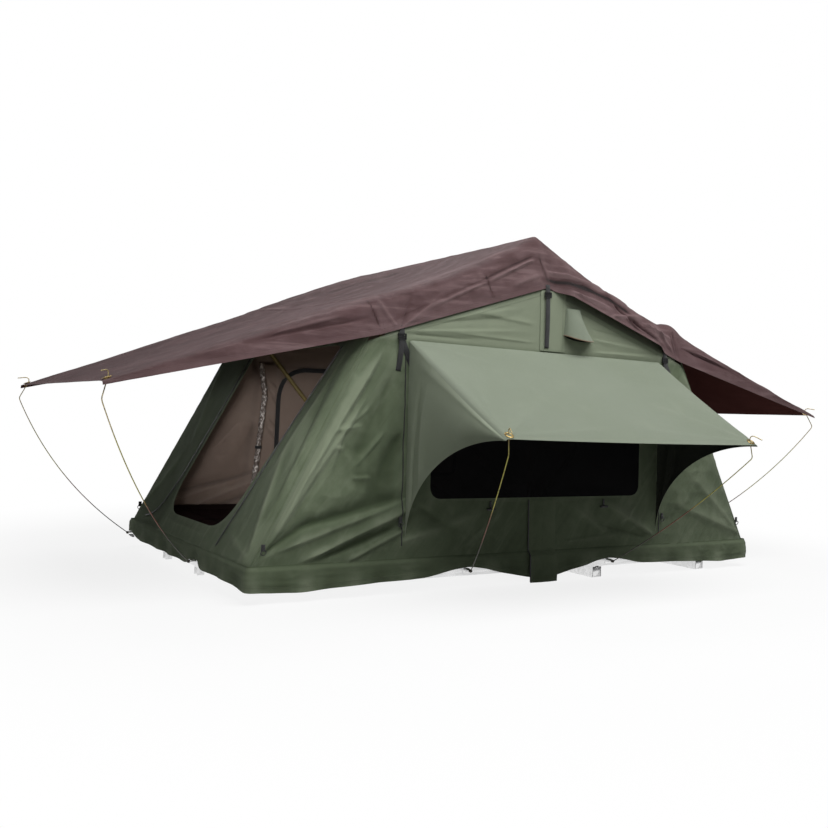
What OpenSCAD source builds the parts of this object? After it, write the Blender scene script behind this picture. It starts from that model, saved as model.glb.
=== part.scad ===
// Fold-out roof top tent, standing open.
// +Z is up, +X points along the fixed half, Y runs along the fold line.
// The origin lies under the fold line, level with the underside of the mounting rails.

/* [Base] */
// Unfolded length of the floor over its frame
base_len = 2380; // [2100:10:2600]
// Width of the floor along the fold line
base_w = 1380; // [1300:10:1600]
// Height of the perimeter extrusion
frame_h = 65; // [58:1:80]
// Width of the perimeter extrusion
frame_w = 26; // [22:1:34]
// Wall of the perimeter extrusion
frame_wall = 3; // [2:0.5:4]
// Thickness of the sandwich floor
panel_t = 30; // [22:1:36]
// Gap between the two floor halves
fold_gap = 4; // [2:0.5:8]
// Leg length of a moulded corner cap
cap_leg = 42; // [30:1:60]
// Wall of a moulded corner cap
cap_wall = 3.5; // [2:0.5:5]
// Height of a moulded corner cap
cap_h = 34; // [20:1:38]

/* [Mounting rails] */
// Height of a mounting rail
rail_h = 45; // [38:1:60]
// Width of a mounting rail
rail_w = 50; // [44:1:70]
// Wall of a mounting rail
rail_wall = 3; // [2:0.5:4]
// Opening between the two lips of a rail
rail_mouth = 18; // [12:1:24]
// Distance between the two rails
rail_spacing = 600; // [450:10:760]
// Distance between the rack bolts along a rail
rack_bolt_spacing = 800; // [500:10:1000]
// Diameter of a rack bolt hole
rack_bolt_d = 9; // [7:0.5:11]
// Diameter of the bolts that hold the rails
rail_bolt_d = 6; // [5:1:8]

/* [Hinge] */
// Height of the fold axis above the floor
pivot_rise = 105; // [95:1:130]
// Diameter of the pivot bolt
pivot_d = 10; // [8:1:12]
// Thickness of the hinge plate
ear_t = 4; // [3:0.5:5]
// Radius of the hinge plate round the pivot
ear_r = 22; // [16:1:28]
// Length of the hinge plate on the floor
bracket_len = 120; // [90:1:160]
// Width of the hinge plate on the floor
bracket_w = 40; // [32:1:48]
// Diameter of the hinge plate screws
hinge_screw_d = 6; // [4:1:8]

/* [Hoops] */
// Diameter of the hoop tube
hoop_d = 19; // [16:0.5:22]
// Distance from the frame side to the legs of the widest hoop
hoop_inset = 78; // [70:1:120]
// Distance along the pivot bolt from one hoop to the next
hoop_pitch = 21; // [20:0.5:26]
// Bend radius of the hoop corners
hoop_bend_r = 80; // [50:1:120]
// Reach of the ridge hoop from the pivot
ridge_reach = 1105; // [1000:5:1200]
// Reach of the two shoulder hoops from the pivot
shoulder_reach = 1066; // [960:5:1080]
// Angle of the shoulder hoops above the floor
shoulder_angle = 48.2; // [42:0.2:56]
// Radius of the eye at a hoop foot
eye_r = 14; // [10:0.5:18]
// Length of the plug inside the hoop tube
plug_len = 40; // [25:1:60]

/* [Mattress] */
// Thickness of the mattress at its edge
mattress_t = 55; // [35:1:60]
// Rise of the crown in the middle
mattress_crown = 7; // [2:0.5:10]
// How far a side draws in between its corners
mattress_draw = 14; // [4:1:25]
// Space between the mattress and the hinge plates
mattress_side_gap = 8; // [4:1:40]
// Space between the mattress and the frame ends
mattress_end_gap = 14; // [8:1:40]

/* [Tent body] */
// Thickness of the cloth solids
cloth_t = 3; // [2:0.5:4]
// Inward lean of the long walls
wall_lean = 1.3; // [0.8:0.1:2]
// Length of wall that is clamped below the floor level
clamp_overlap = 22; // [16:1:28]
// Height of the clamp strip
clamp_h = 15; // [10:1:16]
// Height of the skirt seam above the floor
seam_rise = 10; // [8:1:16]
// Sag of the roof between two hoops
roof_sag = 28; // [0:1:40]
// Width of the side window
window_w = 1030; // [800:10:1060]
// Height of the window sill above the skirt seam
window_sill = 205; // [150:5:300]
// Height of the side window
window_h = 480; // [300:5:520]
// Corner radius of the side window
window_r = 50; // [20:1:90]
// Width of the door opening
door_w = 720; // [500:10:820]
// Sideways place of the door opening
door_y = -65; // [-100:5:100]
// Height of the door sill above the skirt seam
door_sill = 75; // [40:5:150]
// Height of the top of the door above the skirt seam
door_top = 740; // [500:5:760]
// Radius of the lower door corners
door_r = 190; // [80:5:240]
// Radius of the rolled door flap
door_roll_r = 26; // [16:1:34]
// Width of the sleeve over the fold in the long walls
sleeve_w = 130; // [90:1:170]
// Height of the free end of the sleeve above the ground plane
sleeve_foot = 4; // [0:1:60]
// Height of a vent hood above the skirt seam
vent_rise = 815; // [790:5:820]
// Width of a vent hood
vent_w = 150; // [100:5:180]
// Height of a vent hood
vent_h = 120; // [80:5:140]
// Depth of a vent hood
vent_d = 42; // [20:1:60]

/* [Skirt] */
// Drop of the skirt at the rod feet
skirt_drop = 42; // [36:1:44]
// Extra drop of the skirt towards its corners
skirt_corner_drop = 36; // [10:1:38]
// Extra drop of the skirt towards the fold
skirt_fold_drop = 26; // [0:1:38]
// How far the hem stands out from the seam
skirt_flare = 9; // [6:0.5:14]
// Depth of the folds along the hem
skirt_fold = 3; // [0:0.5:4]
// Distance from fold to fold along the hem
skirt_fold_pitch = 190; // [120:5:300]

/* [Rain fly] */
// Space between the roof and the fly
fly_gap = 5; // [4:0.5:12]
// Distance from the fold to the tips of the fly
fly_tip_x = 1650; // [1500:10:1800]
// Height of the fly tips
fly_tip_z = 692; // [600:5:760]
// How far the tips of the fly reach past the frame side
fly_tip_over = 16; // [0:1:60]
// Height of the hem lip at the tips
fly_lip = 12; // [8:1:20]
// Height of the hem below the ridge
fly_ridge_drop = 209; // [150:1:260]
// Height of the hem below the shoulder
fly_shoulder_drop = 136; // [100:1:180]
// Distance from the frame side to the crest of the fly at the ridge
fly_ridge_inset = 78; // [50:1:86]
// Distance from the frame side to the crest of the fly at the shoulders
fly_shoulder_inset = 50; // [30:1:60]
// Dip of the free edge between the tips
fly_dip = 22; // [0:1:40]
// Distance of an eyelet from the edges of its corner
eyelet_inset = 20; // [20:1:30]
// Bore radius of an eyelet
eyelet_bore = 9; // [8.5:0.5:10]

/* [Window awnings] */
// Height of the awning seam above the floor
awning_seam = 772; // [700:2:790]
// Half width of the awning at its seam
awning_top_x = 616; // [560:2:640]
// Half width of the awning at its front
awning_front_x = 585; // [520:1:610]
// Reach of the front edge past the frame side
awning_out = 518; // [310:2:610]
// Height of the front edge
awning_front_z = 558; // [480:2:640]
// Height of the lower end of the side gussets
gusset_foot = 172; // [160:2:260]

/* [Rods] */
// Diameter of the spring rods
rod_d = 5; // [4:0.5:6]
// Height of the rod feet
rod_foot_z = 66; // [62:1:68]
// Stand-off of the rod feet from the frame
rod_standoff = 32; // [28:1:40]
// Distance of the window rod feet from the fold
window_rod_x = 350; // [250:5:450]
// Sideways place of the near end rod foot
near_end_rod_y = -200; // [-300:5:-100]
// Distance from the frame side to the far end rod foot
far_end_rod_inset = 65; // [64:1:180]
// Bow of the end rods
end_rod_bow = 52; // [20:1:70]
// Bow of the window rods
window_rod_bow = 18; // [8:1:40]
// Radius of the ball at a rod foot
ball_r = 6; // [5:0.5:7]
// Radius of the hook at a rod top
hook_r = 10; // [7:0.5:14]

/* [Ladder brackets] */
// Distance between the two ladder brackets
ladder_w = 380; // [300:5:460]
// Hole for a ladder bolt
ladder_bolt_d = 8.4; // [6:0.1:10.4]
// Thickness of a ladder bracket
ladder_t = 4; // [3:0.5:6]
// Inner width of a ladder bracket
ladder_clevis = 28; // [20:1:40]

/* [Hidden] */
$fn = 40;

// Clearances
touch = 0.4;      // between sewn or clamped cloth and what it lies on
fit = 0.3;        // between a panel and its frame
run = 0.05;       // radial play of a pivot
cut = 1;          // overrun of a cutting tool

// Levels and half sizes
half_len = base_len / 2;
half_w = base_w / 2;
floor_z = rail_h + frame_h;
pivot_z = floor_z + pivot_rise;
seam_z = floor_z + seam_rise;
shelf_h = frame_h - panel_t;
hoop_r = hoop_d / 2;
rod_r = rod_d / 2;
far_end_rod_y = half_w - far_end_rod_inset;
rail_xs = [half_len / 2 - rail_spacing / 2, half_len / 2 + rail_spacing / 2];

// Stack of pieces along the pivot bolt, outwards from the innermost hoop
hoop_leg_y = half_w - hoop_inset;
leg_left = hoop_leg_y - hoop_pitch;
leg_right = hoop_leg_y - 2 * hoop_pitch;
eye_w = hoop_pitch - 3;
flip_ear_y = hoop_leg_y + eye_w / 2 + 3;
fixed_ear_y = flip_ear_y + ear_t + 1;
head_y = fixed_ear_y + ear_t + 0.2;
head_h = 6.5;
nut_h = 8;
nut_y = leg_right - eye_w / 2 - 1 - nut_h;
bracket_x = fold_gap / 2 + 4;

// Places of the hoop crossbars
ridge_z = pivot_z + ridge_reach;
shoulder_x = shoulder_reach * cos(shoulder_angle);
shoulder_z = pivot_z + shoulder_reach * sin(shoulder_angle);

// Tent body planes
wall_foot_z = floor_z - clamp_overlap;
end_bend_z = floor_z + seam_rise + 4;
end_dist = norm([half_len + touch - shoulder_x, shoulder_z - end_bend_z]);
end_angle = atan2(shoulder_z - end_bend_z, half_len + touch - shoulder_x)
    + asin((hoop_r + touch) / end_dist);
roof_rise = hoop_r + 3;
end_top = end_dist - 4;

function lerp(a, b, t) = a + (b - a) * t;
function clamp01(t) = max(0, min(1, t));
function ease(t) = t * t * (3 - 2 * t);
function wall_y(z) = half_w + touch + (floor_z - z) * tan(wall_lean);
function wall_out(z) = wall_y(z) + cloth_t / cos(wall_lean);
function end_x(z) = half_len + touch - max(0, z - end_bend_z) / tan(end_angle);
function roof_z(x) = let (t = clamp01(abs(x) / shoulder_x))
    lerp(ridge_z, shoulder_z, t) + roof_rise - roof_sag * 4 * t * (1 - t);

// Fly lines along X: crest height, crest half width, hem height and hem half width
fly_tip_y = half_w + fly_tip_over;
fly_ridge_y = half_w - fly_ridge_inset;
fly_shoulder_y = half_w - fly_shoulder_inset;
fly_sx = shoulder_x + hoop_r + 2 * cloth_t + fly_gap;
fly_ridge_z = ridge_z + roof_rise + cloth_t + fly_gap;
fly_shoulder_z = shoulder_z + roof_rise + cloth_t + fly_gap;
function wing(x) = clamp01((abs(x) - fly_sx) / (fly_tip_x - fly_sx));
function body_t(x) = clamp01(abs(x) / fly_sx);
function crest_z(x) = abs(x) > fly_sx ? lerp(fly_shoulder_z, fly_tip_z, wing(x))
    : lerp(fly_ridge_z, fly_shoulder_z, body_t(x)) - roof_sag * 4 * body_t(x) * (1 - body_t(x));
function crest_y(x) = abs(x) > fly_sx ? lerp(fly_shoulder_y, fly_tip_y - fly_lip / 2, wing(x))
    : lerp(fly_ridge_y, fly_shoulder_y, body_t(x));
function hem_z(x) = abs(x) > fly_sx ? lerp(fly_shoulder_z - fly_shoulder_drop, fly_tip_z - fly_lip, wing(x))
    : lerp(fly_ridge_z - fly_ridge_drop, fly_shoulder_z - fly_shoulder_drop, body_t(x));
function hem_y(x) = let (body = wall_out(hem_z(min(abs(x), fly_sx))) + touch + cloth_t)
    lerp(body, fly_tip_y, wing(x));
function wall_top(x) = hem_z(x) - 6;

// Cross section of a roof from hem over the rounded corner to the middle, as [y, z]
function bez(a, b, c, t) = (1 - t) * (1 - t) * a + 2 * t * (1 - t) * b + t * t * c;
function half_section(hem, corner, dip) =
    let (edge = lerp(corner, hem, 0.28), flat = [corner[0] * 0.925, corner[1]])
    [hem, lerp(hem, edge, 0.5), edge, bez(edge, corner, flat, 0.5), flat,
     [flat[0] * 0.66, flat[1] - dip * 0.6], [flat[0] * 0.33, flat[1] - dip * 0.92]];
function full_section(hem, corner, dip) =
    let (half = half_section(hem, corner, dip), n = len(half))
    concat(half, [[0, corner[1] - dip]], [for (i = [n - 1:-1:0]) [-half[i][0], half[i][1]]]);
function at_x(x, section) = [for (p = section) [x, p[0], p[1]]];

// Closed sheet of even thickness over a grid of points, with unit normals from the grid
function grid_normal(g, i, j) =
    let (n = len(g) - 1, m = len(g[0]) - 1,
         du = g[min(i + 1, n)][j] - g[max(i - 1, 0)][j],
         dv = g[i][min(j + 1, m)] - g[i][max(j - 1, 0)],
         c = cross(dv, du))
    c / norm(c);
module sheet(g, t) {
    n = len(g);
    m = len(g[0]);
    k = n * m;
    inner = [for (r = g) each r];
    outer = [for (i = [0:n - 1]) for (j = [0:m - 1]) g[i][j] + t * grid_normal(g, i, j)];
    cells = [for (i = [0:n - 2]) for (j = [0:m - 2]) [i * m + j, i * m + j + 1, i * m + m + j + 1, i * m + m + j]];
    edge = concat([for (j = [0:m - 1]) j], [for (i = [1:n - 1]) i * m + m - 1],
        [for (j = [m - 2:-1:0]) (n - 1) * m + j], [for (i = [n - 2:-1:1]) i * m]);
    e = len(edge);
    faces = concat(
        [for (c = cells) each [[c[0], c[1], c[2]], [c[0], c[2], c[3]]]],
        [for (c = cells) each [[k + c[2], k + c[1], k + c[0]], [k + c[3], k + c[2], k + c[0]]]],
        [for (i = [0:e - 1]) let (a = edge[i], b = edge[(i + 1) % e])
            each [[a, k + a, k + b], [a, k + b, b]]]);
    polyhedron(points = concat(inner, outer), faces = faces);
}

// Helpers
module both_sides() { children(); mirror([0, 1, 0]) children(); }
module flip() { mirror([1, 0, 0]) children(); }
module span_y(y0, y1) { translate([0, y1, 0]) rotate([90, 0, 0]) linear_extrude(y1 - y0) children(); }
module hex(r, h) { cylinder(r = r, h = h, $fn = 6); }
module round_rect(w, h, r_low, r_top) {
    union() {
        translate([-w / 2 + r_low, 0]) square([w - 2 * r_low, h]);
        translate([-w / 2, r_low]) square([w, h - r_low - r_top]);
        translate([-w / 2 + r_top, h / 2]) square([w - 2 * r_top, h / 2]);
        for (s = [-1, 1]) {
            translate([s * (w / 2 - r_low), r_low]) circle(r_low);
            translate([s * (w / 2 - r_top), h - r_top]) circle(r_top);
        }
    }
}

// Floor halves
module frame_profile() {
    difference() {
        union() {
            square([frame_wall, frame_h]);
            square([frame_w, shelf_h]);
        }
        translate([frame_wall, frame_wall]) square([frame_w - 2 * frame_wall, shelf_h - 2 * frame_wall]);
    }
}
module floor_panel() {
    x0 = fold_gap / 2 + frame_wall + fit;
    x1 = half_len - frame_wall - fit;
    y1 = half_w - frame_wall - fit;
    difference() {
        translate([x0, -y1, floor_z - panel_t]) cube([x1 - x0, 2 * y1, panel_t]);
        both_sides() hinge_screw_places() translate([0, 0, -screw_depth - cut])
            cylinder(d = hinge_screw_d + 2 * run, h = screw_depth + 2 * cut);
    }
}
module side_rails() {
    rail_len = half_len - frame_w - fold_gap / 2;
    difference() {
        both_sides() translate([fold_gap / 2, -half_w, rail_h]) rotate([90, 0, 90])
            linear_extrude(rail_len) frame_profile();
        children();
    }
}
module end_rail() {
    translate([half_len, half_w, rail_h]) mirror([1, 0, 0]) rotate([90, 0, 0])
        linear_extrude(base_w) frame_profile();
}
module hinge_rail() {
    reach = half_w - frame_w;
    translate([fold_gap / 2, reach, rail_h]) rotate([90, 0, 0]) linear_extrude(2 * reach) frame_profile();
}
module corner_caps() {
    round = 6;
    both_sides() difference() {
        translate([0, 0, rail_h - cap_wall]) linear_extrude(cap_h + cap_wall) union() {
            translate([half_len - cap_leg, half_w - cap_leg])
                square([cap_leg + cap_wall - round, cap_leg + cap_wall]);
            translate([half_len - cap_leg, half_w - cap_leg])
                square([cap_leg + cap_wall, cap_leg + cap_wall - round]);
            translate([half_len + cap_wall - round, half_w + cap_wall - round]) circle(round);
        }
        translate([half_len - cap_leg - cut, half_w - cap_leg - cut, rail_h])
            cube([cap_leg + cut, cap_leg + cut, cap_h + cut]);
        translate([half_len - cap_leg - cut, half_w - cap_leg - cut, rail_h - cap_wall - cut])
            cube([cap_leg - frame_w + cut, cap_leg - frame_w + cut, cap_wall + 2 * cut]);
    }
}
clamp_t = 2;
clamp_y = wall_out(wall_foot_z) + touch;
clamp_x = half_len + touch + cloth_t + touch;
module clamp_strips() {
    end_gap = 16;
    z0 = wall_foot_z + 3;
    both_sides() translate([fold_gap / 2 + touch, clamp_y, z0]) cube([half_len - end_gap, clamp_t, clamp_h]);
    translate([clamp_x, end_gap - half_w, z0]) cube([clamp_t, base_w - 2 * end_gap, clamp_h]);
}

module fixed_floor_panel() { color("#8d8f8c") floor_panel(); }
module flip_floor_panel() { color("#8d8f8c") flip() floor_panel(); }
module fixed_side_rails() { color("#b9bcbe") side_rails() rail_bolt_places() rail_bolt_hole(); }
module flip_side_rails() { color("#b9bcbe") flip() side_rails(); }
module fixed_end_rail() { color("#b9bcbe") end_rail(); }
module flip_end_rail() { color("#b9bcbe") flip() end_rail(); }
module fixed_hinge_rail() { color("#b9bcbe") hinge_rail(); }
module flip_hinge_rail() { color("#b9bcbe") flip() hinge_rail(); }
module fixed_corner_caps() { color("#1d1d1e") corner_caps(); }
module flip_corner_caps() { color("#1d1d1e") flip() corner_caps(); }
module fixed_clamp_strips() { color("#a9acae") clamp_strips(); }
module flip_clamp_strips() { color("#a9acae") flip() clamp_strips(); }

// Mounting rails and their fasteners
rail_bolt_x = rail_mouth / 2 + (rail_w - rail_mouth) / 4;
rail_bolt_head = 4;
rail_nut = 5;
module rail_bolt_places() {
    for (x = rail_xs) for (dx = [-1, 1]) for (y = [-1, 1])
        translate([x + dx * rail_bolt_x, y * (half_w - frame_w / 2), rail_h]) children();
}
module rail_bolt_hole() {
    translate([0, 0, -rail_wall - cut]) cylinder(d = rail_bolt_d + 0.4, h = rail_wall + frame_wall + 2 * cut);
}
module mounting_rails() {
    color("#c3c6c8") difference() {
        for (x = rail_xs) translate([x, 0, 0]) span_y(-half_w, half_w) difference() {
            translate([-rail_w / 2, 0]) square([rail_w, rail_h]);
            translate([-rail_w / 2 + rail_wall, rail_wall])
                square([rail_w - 2 * rail_wall, rail_h - 2 * rail_wall]);
            translate([-rail_mouth / 2, rail_h - rail_wall - cut]) square([rail_mouth, rail_wall + 2 * cut]);
        }
        rail_bolt_places() rail_bolt_hole();
        for (x = rail_xs) for (y = [-1, 1]) translate([x, y * rack_bolt_spacing / 2, -cut])
            cylinder(d = rack_bolt_d, h = rail_wall + 2 * cut);
    }
}
module rail_fasteners() {
    color("#9a9da0") rail_bolt_places() {
        union() {
            translate([0, 0, -rail_wall - rail_bolt_head]) rotate(30) hex(rail_bolt_d * 0.9, rail_bolt_head);
            translate([0, 0, -rail_wall]) cylinder(d = rail_bolt_d, h = rail_wall + frame_wall + rail_nut + 3);
        }
        translate([0, 0, frame_wall]) difference() {
            hex(rail_bolt_d * 0.9, rail_nut);
            translate([0, 0, -cut]) cylinder(d = rail_bolt_d + 2 * run, h = rail_nut + 2 * cut);
        }
    }
}

// Fold hinge
screw_depth = panel_t * 0.7;
screw_head = 3;
module hinge_screw_places() {
    for (t = [0.15, 0.5, 0.85])
        translate([bracket_x + t * bracket_len, fixed_ear_y + ear_t + (bracket_w - ear_t) / 2, floor_z]) children();
}
module ear_outline() {
    foot = [bracket_x + bracket_len, floor_z];
    d = [0, pivot_z] - foot;
    a = atan2(d[1], d[0]) - asin(ear_r / norm(d));
    reach = sqrt(d * d - ear_r * ear_r);
    union() {
        translate([0, pivot_z]) circle(ear_r);
        polygon([[bracket_x, floor_z], foot, foot + reach * [cos(a), sin(a)], [0, pivot_z]]);
    }
}
module hinge_bracket(y) {
    difference() {
        union() {
            span_y(y, y + ear_t) ear_outline();
            translate([bracket_x, y, floor_z])
                cube([bracket_len, fixed_ear_y + bracket_w - y, ear_t]);
        }
        translate([0, y - cut, pivot_z]) rotate([-90, 0, 0]) cylinder(d = pivot_d + 2 * run, h = ear_t + 2 * cut);
        hinge_screw_places() translate([0, 0, -cut]) cylinder(d = hinge_screw_d + 2 * run, h = ear_t + 2 * cut);
    }
}
module hinge_screws() {
    both_sides() hinge_screw_places() union() {
        translate([0, 0, -screw_depth]) cylinder(d = hinge_screw_d, h = screw_depth + ear_t);
        translate([0, 0, ear_t]) cylinder(d = 2 * hinge_screw_d, h = screw_head);
    }
}
module fixed_hinge_brackets() { color("#a2a5a8") both_sides() hinge_bracket(fixed_ear_y); }
module flip_hinge_brackets() { color("#a2a5a8") flip() both_sides() hinge_bracket(flip_ear_y); }
module fixed_hinge_screws() { color("#c8cacc") hinge_screws(); }
module flip_hinge_screws() { color("#c8cacc") flip() hinge_screws(); }
module pivot_bolts() {
    color("#c8cacc") both_sides() translate([0, 0, pivot_z]) rotate([-90, 0, 0]) union() {
        translate([0, 0, nut_y]) cylinder(d = pivot_d, h = head_y - nut_y);
        translate([0, 0, head_y]) hex(pivot_d * 0.9, head_h);
    }
}
module pivot_nuts() {
    color("#c8cacc") both_sides() translate([0, nut_y, pivot_z]) rotate([-90, 0, 0]) difference() {
        hex(pivot_d * 0.9, nut_h);
        translate([0, 0, -cut]) cylinder(d = pivot_d + 2 * run, h = nut_h + 2 * cut);
    }
}

// Hoops, drawn upright and turned to their angle above the floor
tube_start = eye_r + 22;
plug_r = hoop_r - 1.5;
module at_angle(a) { translate([0, 0, pivot_z]) rotate([0, 90 - a, 0]) children(); }
module hoop(leg, reach) {
    difference() {
        union() {
            both_sides() translate([0, leg, tube_start])
                cylinder(r = hoop_r, h = reach - hoop_bend_r - tube_start);
            both_sides() translate([0, leg - hoop_bend_r, reach - hoop_bend_r]) rotate([90, 0, 90])
                rotate_extrude(angle = 90) translate([hoop_bend_r, 0]) circle(hoop_r);
            translate([0, hoop_bend_r - leg, reach]) rotate([-90, 0, 0])
                cylinder(r = hoop_r, h = 2 * (leg - hoop_bend_r));
        }
        both_sides() translate([0, leg, tube_start - cut]) cylinder(r = plug_r + run, h = plug_len + cut + fit);
    }
}
module hoop_feet(leg) {
    both_sides() translate([0, leg, 0]) difference() {
        union() {
            rotate([90, 0, 0]) cylinder(r = eye_r, h = eye_w, center = true);
            cylinder(r = min(hoop_r, eye_w / 2) - 0.2, h = tube_start);
            translate([0, 0, tube_start - cut]) cylinder(r = plug_r, h = plug_len + cut);
        }
        rotate([90, 0, 0]) cylinder(d = pivot_d + 2 * run, h = eye_w + 2 * cut, center = true);
    }
}
module ridge_hoop() { color("#c9cccf") at_angle(90) hoop(hoop_leg_y, ridge_reach); }
module left_hoop() { color("#c9cccf") at_angle(180 - shoulder_angle) hoop(leg_left, shoulder_reach); }
module right_hoop() { color("#c9cccf") at_angle(shoulder_angle) hoop(leg_right, shoulder_reach); }
module ridge_hoop_feet() { color("#202122") at_angle(90) hoop_feet(hoop_leg_y); }
module left_hoop_feet() { color("#202122") at_angle(180 - shoulder_angle) hoop_feet(leg_left); }
module right_hoop_feet() { color("#202122") at_angle(shoulder_angle) hoop_feet(leg_right); }

// Mattress halves: rings of a drawn-in outline, stacked from the floor over the crown
mattress_x0 = fold_gap / 2 + mattress_end_gap / 2;
mattress_x1 = half_len - frame_wall - mattress_end_gap;
mattress_y1 = flip_ear_y - mattress_side_gap;
function pillow_outline(a, b, inset) =
    [for (i = [0:63]) let (w = i * 360 / 64, c = cos(w), s = sin(w),
        x = sign(c) * pow(abs(c), 0.16), y = sign(s) * pow(abs(s), 0.16))
        [(a - inset - mattress_draw * (1 - y * y)) * x, (b - inset - mattress_draw * (1 - x * x)) * y]];
module mattress_half() {
    a = (mattress_x1 - mattress_x0) / 2;
    b = mattress_y1;
    t = mattress_t;
    rings = [[9, 0], [2, 0.16 * t], [0, 0.5 * t], [3, 0.8 * t], [16, t],
             [90, t + 0.45 * mattress_crown], [260, t + 0.85 * mattress_crown]];
    n = 64;
    k = len(rings);
    points = concat([for (r = rings) for (p = pillow_outline(a, b, r[0])) [p[0], p[1], r[1]]],
        [[0, 0, 0], [0, 0, t + mattress_crown]]);
    faces = concat(
        [for (j = [0:k - 2]) for (i = [0:n - 1]) let (u = j * n + i, v = j * n + (i + 1) % n)
            each [[u, u + n, v + n], [u, v + n, v]]],
        [for (i = [0:n - 1]) [k * n, i, (i + 1) % n]],
        [for (i = [0:n - 1]) [k * n + 1, (k - 1) * n + (i + 1) % n, (k - 1) * n + i]]);
    translate([(mattress_x0 + mattress_x1) / 2, 0, floor_z + fit]) polyhedron(points, faces);
}
module fixed_mattress() { color("#3a2224") mattress_half(); }
module flip_mattress() { color("#3a2224") flip() mattress_half(); }

// Long walls, one flat panel in each half with half of the window cut out
function wall_s(z) = (z - floor_z) / cos(wall_lean);
window_z = seam_z + window_sill;
module wall_place() { translate([0, -half_w - touch, floor_z]) rotate([90 - wall_lean, 0, 0]) children(); }
module window_outline(grow) {
    translate([0, wall_s(window_z) - grow])
        round_rect(window_w + 2 * grow, window_h + 2 * grow, window_r + grow, window_r + grow);
}
module half_plane() { translate([touch, 0]) square([half_len, ridge_z]); }
module side_wall() {
    top_z = wall_top(shoulder_x);
    corner = end_x(top_z) - touch;
    linear_extrude(cloth_t) difference() {
        polygon([[touch, wall_s(wall_foot_z)], [half_len, wall_s(wall_foot_z)], [half_len, wall_s(end_bend_z)],
            [corner, wall_s(wall_top(corner))], [fly_sx, wall_s(wall_top(fly_sx))],
            [touch, wall_s(wall_top(0))]]);
        window_outline(0);
    }
}
module side_walls() { both_sides() wall_place() side_wall(); }
module fixed_side_walls() { color("#6f7a62") side_walls(); }
module flip_side_walls() { color("#6f7a62") flip() side_walls(); }
mesh_t = 1.5;
mesh_overlap = 12;
module window_meshes() {
    color("#17181a") both_sides() wall_place() for (m = [0, 1]) mirror([m, 0, 0])
        translate([0, 0, -touch - mesh_t]) linear_extrude(mesh_t) intersection() {
            window_outline(mesh_overlap);
            half_plane();
        }
}

// Sloping end walls
module end_place() {
    translate([half_len + touch, 0, end_bend_z]) rotate([end_angle, 0, 90]) children();
}
module end_wall() {
    shoulder_s = (wall_top(shoulder_x) - end_bend_z) / sin(end_angle);
    foot_y = wall_out(wall_foot_z);
    bend_y = wall_out(end_bend_z);
    side_y = wall_out(wall_top(shoulder_x));
    top_y = fly_shoulder_y - hoop_r - 2 * cloth_t;
    union() {
        translate([half_len + touch, -foot_y, wall_foot_z])
            cube([cloth_t, 2 * foot_y, end_bend_z - wall_foot_z + cloth_t / 2]);
        end_place() linear_extrude(cloth_t) difference() {
            polygon([[-bend_y, 0], [bend_y, 0], [side_y, shoulder_s], [top_y, end_top],
                [-top_y, end_top], [-side_y, shoulder_s]]);
            children();
        }
    }
}
door_s = (seam_z + door_sill - end_bend_z) / sin(end_angle);
door_h = (door_top - door_sill) / sin(end_angle);
module fixed_end_wall() { color("#6f7a62") end_wall(); }
module door_wall() {
    color("#6f7a62") flip() end_wall() translate([door_y, door_s]) round_rect(door_w, door_h, door_r, 60);
}
module door_roll() {
    color("#77826a") flip() end_place() translate([door_y, door_s + door_h + door_roll_r, cloth_t + touch + door_roll_r])
        rotate([0, 90, 0]) cylinder(r = door_roll_r, h = door_w - 60, center = true);
}

// Roof over the hoops, from the top of one long wall to the other
module roof_half() {
    steps = 6;
    x1 = shoulder_x + hoop_r * 0.6;
    inset = cloth_t + fly_gap;
    sheet([for (i = [0:steps]) let (x = lerp(touch, x1, i / steps), z = wall_top(x) + touch)
        at_x(x, full_section([wall_y(z), z], [crest_y(x) - inset, roof_z(x)], 0))], cloth_t);
}
module fixed_roof() { color("#6f7a62") roof_half(); }
module flip_roof() { color("#6f7a62") flip() roof_half(); }

// Rain fly, one sheet over roof and both ends, with an eyelet in each corner
fly_slope = atan2(fly_shoulder_z - fly_tip_z, fly_tip_x - fly_sx);
eyelet_x = fly_tip_x - eyelet_inset;
eyelet_y = fly_tip_y - fly_lip - eyelet_inset;
eyelet_wall = 2;
eyelet_flange = 5;
eyelet_lift = cloth_t / 2 - 1;
module fly_eyelet_places() {
    for (sx = [-1, 1]) for (sy = [-1, 1])
        translate([sx * eyelet_x, sy * eyelet_y, crest_z(eyelet_x) + eyelet_lift]) rotate([0, sx * fly_slope, 0]) children();
}
module eyelet_hole() { cylinder(r = eyelet_bore + eyelet_wall + fit, h = 12 * cloth_t, center = true); }
module eyelet() {
    seat = cloth_t / 2 + 1.4;
    difference() {
        union() {
            cylinder(r = eyelet_bore + eyelet_wall, h = 2 * seat, center = true);
            for (s = [-1, 1]) translate([0, 0, s * (seat + 0.6)])
                cylinder(r = eyelet_bore + eyelet_wall + eyelet_flange, h = 1.2, center = true);
        }
        cylinder(r = eyelet_bore, h = 4 * seat, center = true);
    }
}
module rain_fly() {
    wings = 5;
    bays = 6;
    half = concat([for (i = [0:bays]) fly_sx * i / bays],
        [for (i = [1:wings]) lerp(fly_sx, fly_tip_x, i / wings)]);
    xs = concat([for (i = [len(half) - 1:-1:1]) -half[i]], half);
    color("#54403d") {
        difference() {
            sheet([for (x = xs) at_x(x, full_section([hem_y(x), hem_z(x)], [crest_y(x), crest_z(x)],
                fly_dip * wing(x)))], cloth_t);
            fly_eyelet_places() eyelet_hole();
        }
        fly_eyelet_places() eyelet();
    }
}

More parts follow.
